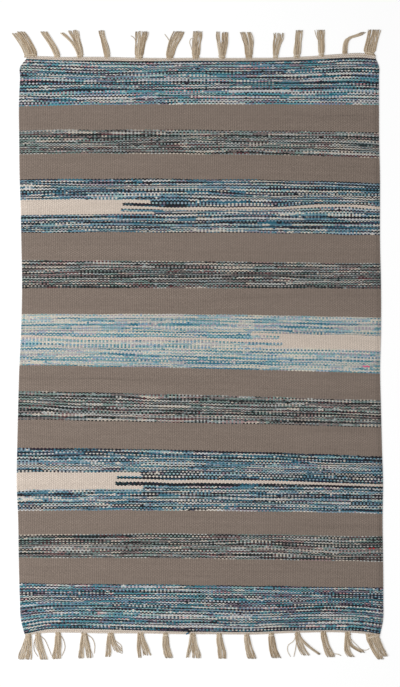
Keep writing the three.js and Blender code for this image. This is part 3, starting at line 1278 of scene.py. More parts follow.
@dataclass(frozen=True)
class TasselMaker:
    """Makes the tassels of one end from single strands.

    Pairs named as a range are drawn from evenly. Numbers without a unit are shares, or factors of a radius.
    """

    outline: Outline
    end: End
    seed: int = 100
    north_seeds: int = 50
    # A strand.
    strand_radius: float = 0.85 * MM
    radius_range: Span = (0.88, 1.08)
    thinning: float = 0.1
    blunt_from: float = 0.985
    blunt_radius: float = 0.72
    rings: int = 13
    sides: int = 5
    twist: float = 5.0 * MM
    fullness: float = 2.0
    # A lock seen from above: where its strands start, bend and end, in millimetres and shares.
    lap: float = 2.5 * MM
    edge_gap: float = 1.0
    least_half: float = 0.5
    root_overlap: float = 0.1
    jitter: float = 0.14
    jitter_limit: float = 1.05
    gathered: float = 0.03
    bend_to_tip: float = 0.6
    bend_spread: float = 0.46
    bend_reach: float = 0.66
    wave_turns: Span = (0.7, 1.8)
    wave_sizes: Span = (0.4, 1.4)
    pinch: float = 0.3
    pinch_length: float = 2.2 * MM
    pinched_until: float = 0.35
    # A lock seen from the side.
    root_height: float = 5.0 * MM
    dome_share: float = 0.92
    dome_least: float = 0.02
    lowest_layer: float = 0.25
    crowd_range: Span = (0.6, 2.2)
    ground_gap: float = 1.02
    pile: float = 1.15
    fall_rate: float = 1.6
    # A stray's height, in radii.
    stray_low: float = 1.05
    stray_start: float = 1.6
    stray_hump: float = 0.3
    # The knot.
    knot_rings: int = 34
    knot_out: float = 2.8 * MM
    knot_turns: float = 2.2
    knot_start: float = 2.0
    knot_margin: float = 0.6 * MM
    knot_lean: float = 0.25
    knot_step: float = 1.1
    knot_radius: float = 0.92

    def build(self, number: int, tassel: Tassel) -> Object:
        """Makes one tassel.

        Args:
            number: its place from the west, from 1.
            tassel: its shape.

        Returns:
            The placed piece, still without a material.
        """
        rng = np.random.default_rng(self.seed + number + self.north_seeds * (self.end is End.NORTH))
        centres = [self.lock_paths(rng, tassel, lock) for lock in tassel.locks]
        centres += [self.stray_path(rng, stray) for stray in tassel.strays]
        paths = np.concatenate(centres)
        thickness = rng.uniform(*self.radius_range, (len(paths), 1))
        radii = np.broadcast_to(self.taper(), paths.shape[:2]) * thickness
        strands = Tubes(self.placed(tassel, paths), radii, sides=self.sides)
        knot = self.knot(rng, tassel)
        tones = rng.random(len(paths) + 1)
        name = f"{self.end.title}_tassel_{number:02d}"
        mesh = join_tubes(name, [strands, knot], self.twist, tones)
        return place_piece(mesh, self.end.node)

    def taper(self) -> Array:
        """Thins a strand a little along its length and makes it blunt at the cut end.

        Returns:
            The radius at each ring, in metres.
        """
        t = np.linspace(0, 1, self.rings)
        blunt = np.where(t > self.blunt_from, self.blunt_radius, 1.0)
        return self.strand_radius * (1 - self.thinning * t) * blunt

    def lock_paths(self, rng: Generator, tassel: Tassel, lock: Lock) -> Array:
        """The centre lines of a lock's strands, as (across, out, height) in metres.

        Args:
            rng: the random source.
            tassel: the tassel that the lock belongs to.
            lock: the lock.

        Returns:
            An array of strands, rings and coordinates.
        """
        count = round(lock.strands * self.fullness)
        seat = np.linspace(-1, 1, count) if count > 1 else np.zeros(1)
        t = np.linspace(0, 1, self.rings)[None, :]
        across, out = self.lock_lines(rng, tassel, lock, seat, t)
        return np.stack([across * MM, out * MM, self.lock_heights(rng, lock, seat, t)], axis=-1)

    def lock_lines(
        self, rng: Generator, tassel: Tassel, lock: Lock, seat: Array, t: Array
    ) -> tuple[Array, Array]:
        """How a lock's strands run when seen from above.

        Each is the cubic Bezier curve from the root, over the knee, to its own place among the tips, with a
        slow waver that grows towards the tip, and is drawn in at the knot.

        Args:
            rng: the random source.
            tassel: the tassel that the lock belongs to.
            lock: the lock.
            seat: each strand's place in the root, from -1 to 1.
            t: the places along a strand, from 0 to 1, in one row.

        Returns:
            The places across and out, in millimetres, in arrays of strands and rings.
        """
        n = len(seat)
        centre = tassel.root + lock.root
        among = np.clip(seat + rng.normal(size=n) * self.jitter, -self.jitter_limit, self.jitter_limit)
        share = lock.strands / sum(other.strands for other in tassel.locks)
        half_root = tassel.root_width / 2 - self.edge_gap
        root = centre + seat * half_root * min(1.0, share + self.root_overlap)
        tip = lock.tip + among * max(lock.width / 2 - self.edge_gap, self.least_half)
        reach = lock.reach - np.abs(rng.normal(size=n)) * lock.ragged
        bend = centre * (1 - self.bend_to_tip) + lock.tip * self.bend_to_tip
        bend = bend + among * lock.width * self.bend_spread + lock.bow
        knee = root * (1 - self.gathered) + centre * self.gathered
        across = self.bezier(t, root, knee, bend, tip)
        start = np.full(n, -self.lap / MM)
        out = self.bezier(t, start, np.full(n, tassel.knee), reach * self.bend_reach, reach)
        wave = np.sin(2 * np.pi * (t * rng.uniform(*self.wave_turns, (n, 1)) + rng.random((n, 1))))
        across = across + wave * t * rng.uniform(*self.wave_sizes, (n, 1))
        gather = 1 - self.pinch * np.exp(-(((out * MM - self.knot_out) / self.pinch_length) ** 2))
        return centre + (across - centre) * np.where(t < self.pinched_until, gather, 1.0), out

    def lock_heights(self, rng: Generator, lock: Lock, seat: Array, t: Array) -> Array:
        """How high a lock's strands run: from layers in the domed root, smoothly down to the ground.

        The more strands there are for the lock's width, the more of them lie on top of others at the tips.

        Args:
            rng: the random source.
            lock: the lock.
            seat: each strand's place in the root, from -1 to 1.
            t: the places along a strand, from 0 to 1, in one row.

        Returns:
            Heights in metres, in an array of strands and rings.
        """
        n, r = len(seat), self.strand_radius
        dome = np.sqrt(np.clip(1 - (seat * self.dome_share) ** 2, self.dome_least, 1))
        layer = rng.permutation(n) / max(n - 1, 1)
        high = (self.root_height - 2 * r) * dome * (self.lowest_layer + (1 - self.lowest_layer) * layer) + r
        crowd = np.clip(n * 2 * r / (lock.width * MM), *self.crowd_range) - self.crowd_range[0]
        low = r * self.ground_gap + self.pile * r * layer * crowd
        fall = np.clip(t * self.fall_rate, 0, 1)
        fall = fall * fall * (3 - 2 * fall)
        return high[:, None] * (1 - fall) + low[:, None] * fall

    @staticmethod
    def bezier(t: Array, a: Array, b: Array, c: Array, d: Array) -> Array:
        """The cubic Bezier curve of four control values for each strand.

        Args:
            t: the places along a strand, from 0 to 1, in one row.
            a: the strands' first values.
            b: the values that they leave towards.
            c: the values that they come in from.
            d: their last values.

        Returns:
            An array of strands and rings.
        """
        a, b, c, d = (np.asarray(v, dtype=float)[:, None] for v in (a, b, c, d))
        s = 1 - t
        return s**3 * a + 3 * s * s * t * b + 3 * s * t * t * c + t**3 * d

    def stray_path(self, rng: Generator, stray: Places) -> Array:
        """The centre line of one loose strand: a smooth line through its places, on or just over the ground.

        Args:
            rng: the random source.
            stray: the (across, out) places, in millimetres.

        Returns:
            One strand's centre line, as (across, out, height) in metres.
        """
        places = np.array(stray, dtype=float)
        gaps = np.hypot(*np.diff(places, axis=0).T)
        run = np.concatenate([[0.0], np.cumsum(gaps)])
        at = np.linspace(0, run[-1], self.rings)
        t = at / run[-1]
        hump = self.stray_hump * np.sin(np.pi * t) * rng.random()
        rise = self.stray_low + self.stray_start * (1 - t) ** 2 + hump
        across, out = (smooth_through(run, places[:, axis], at) for axis in (0, 1))
        return np.stack([across * MM, out * MM, self.strand_radius * rise], axis=-1)[None]

    def placed(self, tassel: Tassel, paths: Array) -> Array:
        """Moves points to their places out from the heading at the tassel's root.

        Args:
            tassel: the tassel.
            paths: its points, as (across, out, height) in metres.

        Returns:
            The same points, in the frame's coordinates.
        """
        shift = self.outline.shift()
        root = np.array([tassel.root])
        edge = self.outline.edge(self.end, root)[0]
        edge += self.end.outwards * self.outline.heading(self.end, root)[0]
        x = paths[..., 0] + shift[0]
        y = edge * MM + self.end.outwards * paths[..., 1] + shift[1]
        return np.stack([x, y, paths[..., 2]], axis=-1)

    def knot(self, rng: Generator, tassel: Tassel) -> Tubes:
        """The turns of yarn round a tassel's root: a flattened helix that leans a little.

        Args:
            rng: the random source.
            tassel: the tassel.

        Returns:
            One strand, in the frame's coordinates.
        """
        rings = self.knot_rings
        turn = np.linspace(0, 2 * np.pi * self.knot_turns, rings) + rng.uniform(0, self.knot_start)
        half = tassel.root_width / 2 * MM * (1 - self.pinch) + self.knot_margin
        lean = rng.uniform(-self.knot_lean, self.knot_lean)
        across = tassel.root * MM + half * np.cos(turn)
        step = np.linspace(-1.0, 1.0, rings) * self.strand_radius * self.knot_step
        out = self.knot_out + step + lean * half * np.cos(turn)
        radius = self.strand_radius * self.knot_radius
        middle = self.root_height / 2
        height = middle + (middle - radius) * np.sin(turn)
        path = np.stack([across, out, height], axis=-1)[None]
        radii = np.full((1, rings), radius)
        return Tubes(self.placed(tassel, path), radii, self.sides, reference=(0.0, 1.0, 0.0))


@dataclass(frozen=True)
class LooseEnd:
    """The cut end of one dark weft yarn at the south heading: a short doubled part, then a thinner tail.

    Both parts pass through (across, out, height) places in millimetres, where out is how far they lie past
    half the cloth's length.
    """

    outline: Outline
    doubled: Places = ((-25.2, -1.4, 4.4), (-24.0, 0.4, 5.0), (-22.8, 2.2, 5.0), (-22.2, 3.8, 4.7))
    tail: Places = ((-22.4, 3.6, 4.8), (-23.8, 5.2, 5.0), (-25.6, 6.6, 4.7), (-27.8, 7.6, 4.2))
    doubled_radius: float = 1.75 * MM
    tail_radius: float = 1.25 * MM
    twist: float = 5.0 * MM
    rings: int = 11
    tones: Span = (0.25, 0.75)

    def part(self, places: Places, radius: float) -> Tubes:
        """One strand of an even radius, on a smooth line through its places.

        Args:
            places: the places that it passes through.
            radius: its radius, in metres.

        Returns:
            The strand, in the frame's coordinates.
        """
        table = np.array(places, dtype=float)
        knots = np.arange(len(table), dtype=float)
        at = np.linspace(0, knots[-1], self.rings)
        across, out, height = (smooth_through(knots, table[:, axis], at) for axis in range(3))
        shift = self.outline.shift()
        y = End.SOUTH.outwards * (HALF_LENGTH + out) * MM + shift[1]
        path = np.stack([across * MM + shift[0], y, height * MM], axis=-1)
        return Tubes(path[None], np.full((1, self.rings), radius))

    def build(self) -> Object:
        """Makes the piece, dark in its doubled part and blue in its tail.

        Returns:
            The placed piece, still without a material.
        """
        parts = [self.part(self.doubled, self.doubled_radius), self.part(self.tail, self.tail_radius)]
        mesh = join_tubes("south_loose_end", parts, self.twist, np.array(self.tones))
        return place_piece(mesh, PANEL_NODE)


# ---- finishes


def linear(colour: Colour) -> tuple[float, float, float, float]:
    """Turns a colour of 0 to 255 display values into linear light, with full alpha.

    The curve is a straight line up to a share of TOE_END, and a power of the lifted share above it.

    Args:
        colour: red, green and blue.

    Returns:
        Red, green, blue and alpha.
    """
    share = np.array(colour) / DISPLAY_WHITE
    curve = ((share + CURVE_LIFT) / (1 + CURVE_LIFT)) ** CURVE_POWER
    light = np.where(share <= TOE_END, share / TOE_SLOPE, curve)
    return (float(light[0]), float(light[1]), float(light[2]), 1.0)


class NodePen:
    """Adds, sets and links the nodes of one tree, set out from left to right."""

    STEP_ACROSS = 190
    STEP_DOWN = 150
    LINES = 4

    def __init__(self, tree: NodeTree) -> None:
        """Starts on a tree.

        Args:
            tree: the node tree to draw in.
        """
        self.tree = tree
        self.column = 0

    def put(self, target: NodeSocket, value: object) -> None:
        """Links an input to an output, or sets the input's own value.

        Args:
            target: the input.
            value: the output to link, or the value.
        """
        if isinstance(value, NodeSocket):
            self.tree.links.new(value, target)
        else:
            target.default_value = value

    def add(self, kind: str, values: Inputs | None = None, **settings: object) -> Node:
        """Adds a node.

        Args:
            kind: its type name, without the leading "ShaderNode".
            values: what goes into its inputs, by name or number: an output to link, or a value.
            settings: its own properties.

        Returns:
            The node.
        """
        node = self.tree.nodes.new(kind if kind.startswith("NodeGroup") else f"ShaderNode{kind}")
        for name, value in settings.items():
            setattr(node, name, value)
        for name, value in (values or {}).items():
            self.put(node.inputs[name], value)
        node.location = (self.column * self.STEP_ACROSS, -(self.column % self.LINES) * self.STEP_DOWN)
        self.column += 1
        return node

    def math(self, operation: str, *terms: NodeSocket | float) -> NodeSocket:
        """Works out a number from one to three terms."""
        return self.add("Math", dict(enumerate(terms)), operation=operation).outputs[0]

    def ease(self, value: NodeSocket, low: float, high: float) -> NodeSocket:
        """Eases a value from 0, at low, to 1, at high."""
        values = {"Value": value, "From Min": low, "From Max": high}
        return self.add("MapRange", values, interpolation_type="SMOOTHSTEP").outputs["Result"]

    def mix(self, factor: NodeSocket, first: NodeSocket, second: NodeSocket) -> NodeSocket:
        """Mixes two colours, which are the node's inputs 6 and 7, by a factor."""
        return self.add("Mix", {0: factor, 6: first, 7: second}, data_type="RGBA").outputs[2]

    def blend(self, factor: NodeSocket, first: NodeSocket, second: NodeSocket) -> NodeSocket:
        """Mixes two numbers, which are the node's inputs 2 and 3, by a factor."""
        return self.add("Mix", {0: factor, 2: first, 3: second}, data_type="FLOAT").outputs[0]

    def scale(self, colour: NodeSocket, by: NodeSocket) -> NodeSocket:
        """Scales a colour by a number."""
        return self.add("VectorMath", {0: colour, "Scale": by}, operation="SCALE").outputs[0]

    def split(self, place: NodeSocket) -> Node:
        """Takes a place apart into its coordinates."""
        return self.add("SeparateXYZ", {0: place})

    def noise(self, place: NodeSocket, **values: object) -> NodeSocket:
        """Soft noise at a place, with its inputs set by name."""
        return self.add("TexNoise", {"Vector": place, **values}).outputs[0]

    def value(self, attribute: str) -> NodeSocket:
        """Reads a named number of the mesh."""
        return self.add("Attribute", attribute_name=attribute).outputs["Fac"]

    def use(self, group: NodeTree, place: NodeSocket, **values: float) -> Node:
        """Places a shared group, with its Place linked and its other inputs set."""
        return self.add("Group", {"Place": place, **values}, node_tree=group)


def new_material(name: str) -> tuple[Material, NodePen]:
    """Makes a material with its shader.

    Args:
        name: the material's name.

    Returns:
        The material, and a pen on its tree.
    """
    material = bpy.data.materials.new(name)
    material.use_nodes = True
    return material, NodePen(material.node_tree)


def new_group(name: str, inputs: dict[str, float], outputs: Sequence[str]) -> tuple[NodePen, Node, Node]:
    """Starts a shared group with a Place input.

    Args:
        name: the group's name.
        inputs: its number inputs and their first values.
        outputs: its number outputs.

    Returns:
        A pen on its tree, its input node and its output node.
    """
    tree = bpy.data.node_groups.new(name, "ShaderNodeTree")
    tree.interface.new_socket("Place", in_out="INPUT", socket_type="NodeSocketVector")
    for title, value in inputs.items():
        socket = tree.interface.new_socket(title, in_out="INPUT", socket_type="NodeSocketFloat")
        socket.default_value = value
    for title in outputs:
        tree.interface.new_socket(title, in_out="OUTPUT", socket_type="NodeSocketFloat")
    pen = NodePen(tree)
    return pen, pen.add("NodeGroupInput"), pen.add("NodeGroupOutput")


class SharedEffects:
    """The node groups that more than one finish uses, and the numbers that shape them."""

    FLOAT_DIP = 0.35
    RIB_EDGE = 0.7
    RIB_DIP = 0.6
    # The height below which the crevices between floats get painted shade.
    CREVICE_SHADE_TOP = 0.6
    PICK_EDGE = 0.9
    PLY_EDGE = 0.35
    FINE_DETAIL = 3.0
    FINE_ROUGHNESS = 0.6
    BROAD_SIZE = 0.3
    BROAD_SHARE = 0.5
    FLECK_RANGE = (0.52, 0.68)
    CLOUD_SCALE = 7.0
    STREAK_SCALE = (110.0, 3.0, 1.0)

    def __init__(self) -> None:
        """Builds every group once."""
        self.weave = self.weave_relief()
        self.twist = self.yarn_twist()
        self.fibre = self.cotton_fibre()
        self.drift = self.dye_drift()

    @classmethod
    def weave_relief(cls) -> NodeTree:
        """Rounded wavy picks and the crevices between them, from a place in warp ends and picks.

        The distance from the middle of the nearest float is a ping-pong of each coordinate, turned round
        where the two add up to more than one. A pick swells over one warp end and shrinks under the next;
        past its edge the float beside it shows. The height is a half circle across the pick that shows, lower
        where it dips and lower again in the groove between two warp ends, whose depth is Rib. Crevice Shade
        is
        painted shade: near 1 where the height is low, and up to Rib in the groove between warp ends.

        Returns:
            The group.
        """
        outputs = ("Height", "Crevice Shade", "Beside")
        pen, given, out = new_group("weave_relief", {"Swell": 0.25, "Rib": 0.5}, outputs)
        split = pen.split(given.outputs["Place"])
        u = pen.math("PINGPONG", split.outputs[0], 1.0)
        v = pen.math("PINGPONG", split.outputs[1], 1.0)
        turned = pen.math("GREATER_THAN", pen.math("ADD", u, v), 1.0)
        across = pen.math("ABSOLUTE", pen.math("SUBTRACT", turned, u))
        along = pen.math("ABSOLUTE", pen.math("SUBTRACT", turned, v))
        beside = pen.math("GREATER_THAN", along, cls.half_pick(pen, given, across))
        across = pen.math("ABSOLUTE", pen.math("SUBTRACT", beside, across))
        along = pen.math("ABSOLUTE", pen.math("SUBTRACT", beside, along))
        share = pen.math("DIVIDE", along, cls.half_pick(pen, given, across))
        left = pen.math("SUBTRACT", 1.0, pen.math("POWER", share, 2.0))
        round_part = pen.math("SQRT", pen.math("MAXIMUM", left, 0.0))
        wave = pen.math("COSINE", pen.math("MULTIPLY", across, math.pi))
        crown = pen.math("MULTIPLY_ADD", wave, cls.FLOAT_DIP, 1 - cls.FLOAT_DIP)
        rib = pen.math("ABSOLUTE", pen.math("COSINE", pen.math("MULTIPLY", split.outputs[0], math.pi)))
        between = pen.math("SUBTRACT", 1.0, pen.ease(rib, 0.0, cls.RIB_EDGE))
        groove = pen.math("MULTIPLY", between, given.outputs["Rib"])
        height = pen.math("MULTIPLY", round_part, crown)
        height = pen.math("MULTIPLY", height, pen.math("MULTIPLY_ADD", groove, -cls.RIB_DIP, 1.0))
        # Painted shade in the low parts between floats and in the grooves between warp ends.
        crevice_shade = pen.math("SUBTRACT", 1.0, pen.ease(height, 0.0, cls.CREVICE_SHADE_TOP))
        pen.put(out.inputs["Height"], height)
        pen.put(out.inputs["Crevice Shade"], pen.math("MAXIMUM", crevice_shade, groove))
        pen.put(out.inputs["Beside"], beside)
        return pen.tree

    @classmethod
    def half_pick(cls, pen: NodePen, given: Node, across: NodeSocket) -> NodeSocket:
        """Half a pick's thickness at a distance across from the middle of its float.

        It is half a pitch, plus Swell over the float and minus Swell under the next warp end, with a steep
        ease of cos(pi across) between the two.

        Args:
            pen: the pen on the group's tree.
            given: the group's input node.
            across: the distance from the middle of the float, in warp ends.

        Returns:
            The thickness, in picks.
        """
        wave = pen.math("COSINE", pen.math("MULTIPLY", across, math.pi))
        side = pen.math("SUBTRACT", pen.ease(wave, -cls.PICK_EDGE, cls.PICK_EDGE), 0.5)
        return pen.math("MULTIPLY_ADD", side, pen.math("MULTIPLY", given.outputs["Swell"], 2.0), 0.5)

    @classmethod
    def yarn_twist(cls) -> NodeTree:
        """Slanting plies: a sine of the place along times Turns plus the place across times Slant.

        Returns:
            The group.
        """
        pen, given, out = new_group("yarn_twist", {"Turns": 1.0, "Slant": 1.0}, ("Height", "Ply"))
        split = pen.split(given.outputs["Place"])
        along = pen.math("MULTIPLY", split.outputs[0], given.outputs["Turns"])
        slanted = pen.math("MULTIPLY_ADD", split.outputs[1], given.outputs["Slant"], along)
        wave = pen.math("SINE", pen.math("MULTIPLY", slanted, 2 * math.pi))
        pen.put(out.inputs["Height"], pen.math("ABSOLUTE", wave))
        pen.put(out.inputs["Ply"], pen.ease(wave, -cls.PLY_EDGE, cls.PLY_EDGE))
        return pen.tree

    @classmethod
    def cotton_fibre(cls) -> NodeTree:
        """Fine cotton fuzz: two sizes of noise for the height, and pale flecks where the finer one peaks.

        Returns:
            The group.
        """
        pen, given, out = new_group("cotton_fibre", {"Size": 900.0}, ("Height", "Fleck"))
        place, size = given.outputs["Place"], given.outputs["Size"]
        fine = pen.noise(place, Scale=size, Detail=cls.FINE_DETAIL, Roughness=cls.FINE_ROUGHNESS)
        broad = pen.noise(place, Scale=pen.math("MULTIPLY", size, cls.BROAD_SIZE), Detail=2.0)
        both = pen.math("MULTIPLY_ADD", broad, cls.BROAD_SHARE, fine)
        middle = 0.5 + 0.5 * cls.BROAD_SHARE
        pen.put(out.inputs["Height"], pen.math("SUBTRACT", both, middle))
        pen.put(out.inputs["Fleck"], pen.ease(fine, *cls.FLECK_RANGE))
        return pen.tree

    @classmethod
    def dye_drift(cls) -> NodeTree:
        """Slow changes of tone: soft clouds, and faint streaks that follow the warp.

        Returns:
            The group.
        """
        pen, given, out = new_group("dye_drift", {"Depth": 0.05}, ("Value",))
        place = given.outputs["Place"]
        clouds = pen.noise(place, Scale=cls.CLOUD_SCALE, Detail=2.0)
        stretched = pen.add("Mapping", {"Vector": place, "Scale": cls.STREAK_SCALE})
        streaks = pen.noise(stretched.outputs[0], Scale=1.0, Detail=1.0)
        centred = pen.math("SUBTRACT", pen.math("ADD", clouds, streaks), 1.0)
        pen.put(out.inputs["Value"], pen.math("MULTIPLY_ADD", centred, given.outputs["Depth"], 1.0))
        return pen.tree


@dataclass(frozen=True)
class Dye:
    """One colour of a yarn, in display values, and its share of the yarn's length."""

    share: float
    colour: Colour


def dyes(*rows: tuple[float, int, int, int]) -> tuple[Dye, ...]:
    """Dyes from rows of a share, red, green and blue, from dark to light."""
    return tuple(Dye(share, (red, green, blue)) for share, red, green, blue in rows)


@dataclass(frozen=True)
class CottonFinish:
    """A dyed cotton surface: its dyes, its twist and fuzz, and how it takes the light."""

    name: str
    dyes: tuple[Dye, ...]
    roughness: float = 0.9
    sheen: float = 0.12
    sheen_roughness: float = 0.5
    specular: float = 0.2
    # How dark the painted shade in crevices and twist grooves is.
    crevice_shade_depth: float = 0.3
    fleck_depth: float = 0.1
    drift_depth: float = 0.05
    turns: float = 1.6
    slant: float = 0.9
    fibre_size: float = 1100.0
    fibre_relief: float = 0.35
    bump_height: float = 0.0009
    bump_strength: float = 0.8

    def ramp(self, pen: NodePen, tone: NodeSocket) -> NodeSocket:
        """The dye for a tone: each dye takes its share of the range from 0 to 1.

        Args:
            pen: the pen on the material's tree.
            tone: the tone.

        Returns:
            The colour output.
        """
        ramp = pen.add("ValToRGB", {"Fac": tone})
        ramp.color_ramp.interpolation = "CONSTANT"
        total = sum(dye.share for dye in self.dyes)
        place = 0.0
        stops = ramp.color_ramp.elements
        for number, dye in enumerate(self.dyes):
            stop = stops[number] if number < 2 else stops.new(place / total)
            stop.position = place / total
            stop.color = linear(dye.colour)
            place += dye.share
        return ramp.outputs["Color"]

    def pattern(self, pen: NodePen, effects: SharedEffects) -> tuple[NodeSocket, ...]:
        """The yarn's own colour, light and height, before the fibres and the drift of the dye.

        Args:
            pen: the pen on the material's tree.
            effects: the shared node groups.

        Returns:
            The three outputs.
        """
        raise NotImplementedError

    def material(self, effects: SharedEffects) -> Material:
        """Builds the material.

        The base colour is the pattern's colour scaled by its light, plus pale fibre flecks, times the slow
        drift of the dye. The bump is the pattern's height plus the fibres' own.

        Args:
            effects: the shared node groups.

        Returns:
            The material, with every constant set on its shader's own socket.
        """
        material, pen = new_material(self.name)
        shader = material.node_tree.nodes["Principled BSDF"]
        shader.inputs["Roughness"].default_value = self.roughness
        shader.inputs["Sheen Weight"].default_value = self.sheen
        shader.inputs["Sheen Roughness"].default_value = self.sheen_roughness
        shader.inputs["Specular IOR Level"].default_value = self.specular
        place = pen.add("TexCoord").outputs["Object"]
        fibre = pen.use(effects.fibre, place, Size=self.fibre_size)
        drift = pen.use(effects.drift, place, Depth=self.drift_depth)
        colour, light, height = self.pattern(pen, effects)
        light = pen.math("MULTIPLY_ADD", fibre.outputs["Fleck"], self.fleck_depth, light)
        light = pen.math("MULTIPLY", light, drift.outputs["Value"])
        pen.put(shader.inputs["Base Color"], pen.scale(colour, light))
        height = pen.math("MULTIPLY_ADD", fibre.outputs["Height"], self.fibre_relief, height)
        sizes = {"Strength": self.bump_strength, "Distance": self.bump_height}
        bump = pen.add("Bump", {"Height": height, **sizes})
        pen.put(shader.inputs["Normal"], bump.outputs[0])
        return material


@dataclass(frozen=True)
class WeftFinish(CottonFinish):
    """The finish of a weft yarn in the cloth, which follows the cloth's weave map."""

    # How far a float's shade moves its lightness: random tone, and painted shade in the selvedge grooves.
    shade_depth: float = 0.12
    ply_share: float = 0.5
    swell: float = 0.46
    rib: float = 0.5
    twist_relief: float = 0.14

    def pattern(self, pen: NodePen, effects: SharedEffects) -> tuple[NodeSocket, ...]:
        """The dye of the pick that shows, with the other ply's dye in the slanting stripes of the twist.

        The light is one, plus the float's shade, less the painted shade of the crevices.

        Args:
            pen: the pen on the material's tree.
            effects: the shared node groups.

        Returns:
            The colour, light and height outputs.
        """
        weave = pen.add("UVMap", uv_map=WEAVE_MAP).outputs[0]
        relief = pen.use(effects.weave, weave, Swell=self.swell, Rib=self.rib)
        twist = pen.use(effects.twist, weave, Turns=self.turns, Slant=self.slant)
        own = pen.math("SUBTRACT", 1.0, relief.outputs["Beside"])
        factor = pen.math("MULTIPLY", pen.math("MULTIPLY", twist.outputs["Ply"], self.ply_share), own)
        tone = pen.blend(relief.outputs["Beside"], pen.value("tone"), pen.value("beside"))
        colour = pen.mix(factor, self.ramp(pen, tone), self.ramp(pen, pen.value("ply")))
        # The float's shade: random lightness, and painted shade in the selvedge grooves.
        light = pen.math("MULTIPLY_ADD", pen.value("shade"), self.shade_depth, 1.0)
        # Painted shade in the crevices between floats and in the grooves between warp ends.
        light = pen.math("MULTIPLY_ADD", relief.outputs["Crevice Shade"], -self.crevice_shade_depth, light)
        height = relief.outputs["Height"]
        height = pen.math("MULTIPLY_ADD", twist.outputs["Height"], self.twist_relief, height)
        return colour, light, height


@dataclass(frozen=True)
class StrandFinish(CottonFinish):
    """The finish of yarn in strands and cords, which follows each strand's own map."""

    turns: float = 1.0
    slant: float = 1.0
    fibre_size: float = 1300.0
    fibre_relief: float = 0.5
    # How dark the painted shade in the twist grooves is.
    crevice_shade_depth: float = 0.25
    bump_height: float = 0.0005
    bump_strength: float = 0.7

    def pattern(self, pen: NodePen, effects: SharedEffects) -> tuple[NodeSocket, ...]:
        """The strand's dye, with painted shade in the grooves of its twist.

        Args:
            pen: the pen on the material's tree.
            effects: the shared node groups.

        Returns:
            The colour, light and height outputs.
        """
        strand = pen.add("UVMap", uv_map=STRAND_MAP).outputs[0]
        twist = pen.use(effects.twist, strand, Turns=self.turns, Slant=self.slant)
        # Painted shade in the grooves of the twist.
        groove = pen.math("SUBTRACT", 1.0, twist.outputs["Height"])
        light = pen.math("MULTIPLY_ADD", groove, -self.crevice_shade_depth, 1.0)
        return self.ramp(pen, pen.value("tone")), light, twist.outputs["Height"]


MIXED_DYES = dyes(
    (14, 24, 26, 32), (8, 44, 29, 42), (8, 15, 40, 44), (6, 24, 35, 52), (5, 80, 68, 84),
    (9, 35, 100, 116), (7, 84, 142, 154), (6, 130, 118, 130), (7, 120, 142, 164), (8, 138, 172, 172),
    (1, 200, 154, 156), (12, 204, 201, 193), (9, 186, 188, 192),
)
CHARCOAL_DYES = dyes(
    (18, 22, 26, 27), (8, 19, 37, 38), (8, 39, 31, 33), (7, 49, 64, 68), (7, 82, 87, 85),
    (2, 84, 48, 52), (10, 120, 111, 109), (10, 122, 141, 135), (10, 139, 147, 148), (3, 152, 128, 126),
    (9, 189, 179, 166), (7.9, 176, 176, 172), (0.1, 176, 40, 44),
)
BLUE_DYES = dyes(
    (15, 22, 26, 32), (8, 40, 28, 40), (8, 16, 42, 48), (7, 26, 40, 60), (3, 78, 78, 94),
    (9, 42, 96, 114), (9, 90, 130, 146), (4, 146, 132, 142), (8, 132, 154, 168), (8, 144, 172, 172),
    (13, 204, 197, 186), (8, 190, 190, 190),
)
SKY_DYES = dyes(
    (12, 54, 110, 130), (10, 90, 140, 148), (8, 112, 146, 168), (7, 124, 154, 156), (6, 156, 146, 158),
    (7, 174, 176, 170), (9, 148, 176, 180), (6, 162, 168, 180), (17, 202, 196, 181),
    (17.85, 194, 191, 184), (0.15, 212, 84, 128),
)
TAUPE_DYES = dyes((3, 130, 116, 106), (5, 132, 118, 108), (2, 134, 120, 110))
CREAM_DYES = dyes((3, 204, 190, 177), (4, 207, 193, 180), (3, 210, 196, 183))
CORD_DYES = dyes((2, 206, 192, 178), (3, 216, 204, 191), (2, 226, 215, 203))
TASSEL_DYES = dyes((2, 172, 151, 124), (3, 186, 167, 142), (3, 198, 181, 157), (2, 210, 196, 176))
LOOSE_END_DYES = dyes((1, 16, 18, 26), (1, 58, 106, 134))

WEFT_FINISHES: dict[Yarn, WeftFinish] = {
    Yarn.MIXED: WeftFinish("mixed_weft", MIXED_DYES),
    Yarn.CHARCOAL: WeftFinish("charcoal_weft", CHARCOAL_DYES),
    Yarn.BLUE: WeftFinish("blue_weft", BLUE_DYES),
    Yarn.SKY: WeftFinish("sky_weft", SKY_DYES),
    # The taupe and cream wefts get deeper painted shade in their crevices.
    Yarn.TAUPE: WeftFinish("taupe_weft", TAUPE_DYES, crevice_shade_depth=0.56, shade_depth=0.05, ply_share=0.3),
    Yarn.CREAM: WeftFinish(
        "cream_weft", CREAM_DYES, crevice_shade_depth=0.46, drift_depth=0.02, shade_depth=0.04, ply_share=0.3
    ),
}
# The heading cords get lighter painted shade in their twist grooves.
HEADING_FINISH = StrandFinish("heading_cord", CORD_DYES, crevice_shade_depth=0.2)
TASSEL_FINISH = StrandFinish("tassel_yarn", TASSEL_DYES)
LOOSE_END_FINISH = StrandFinish("loose_weft_yarn", LOOSE_END_DYES)


# ---- stage


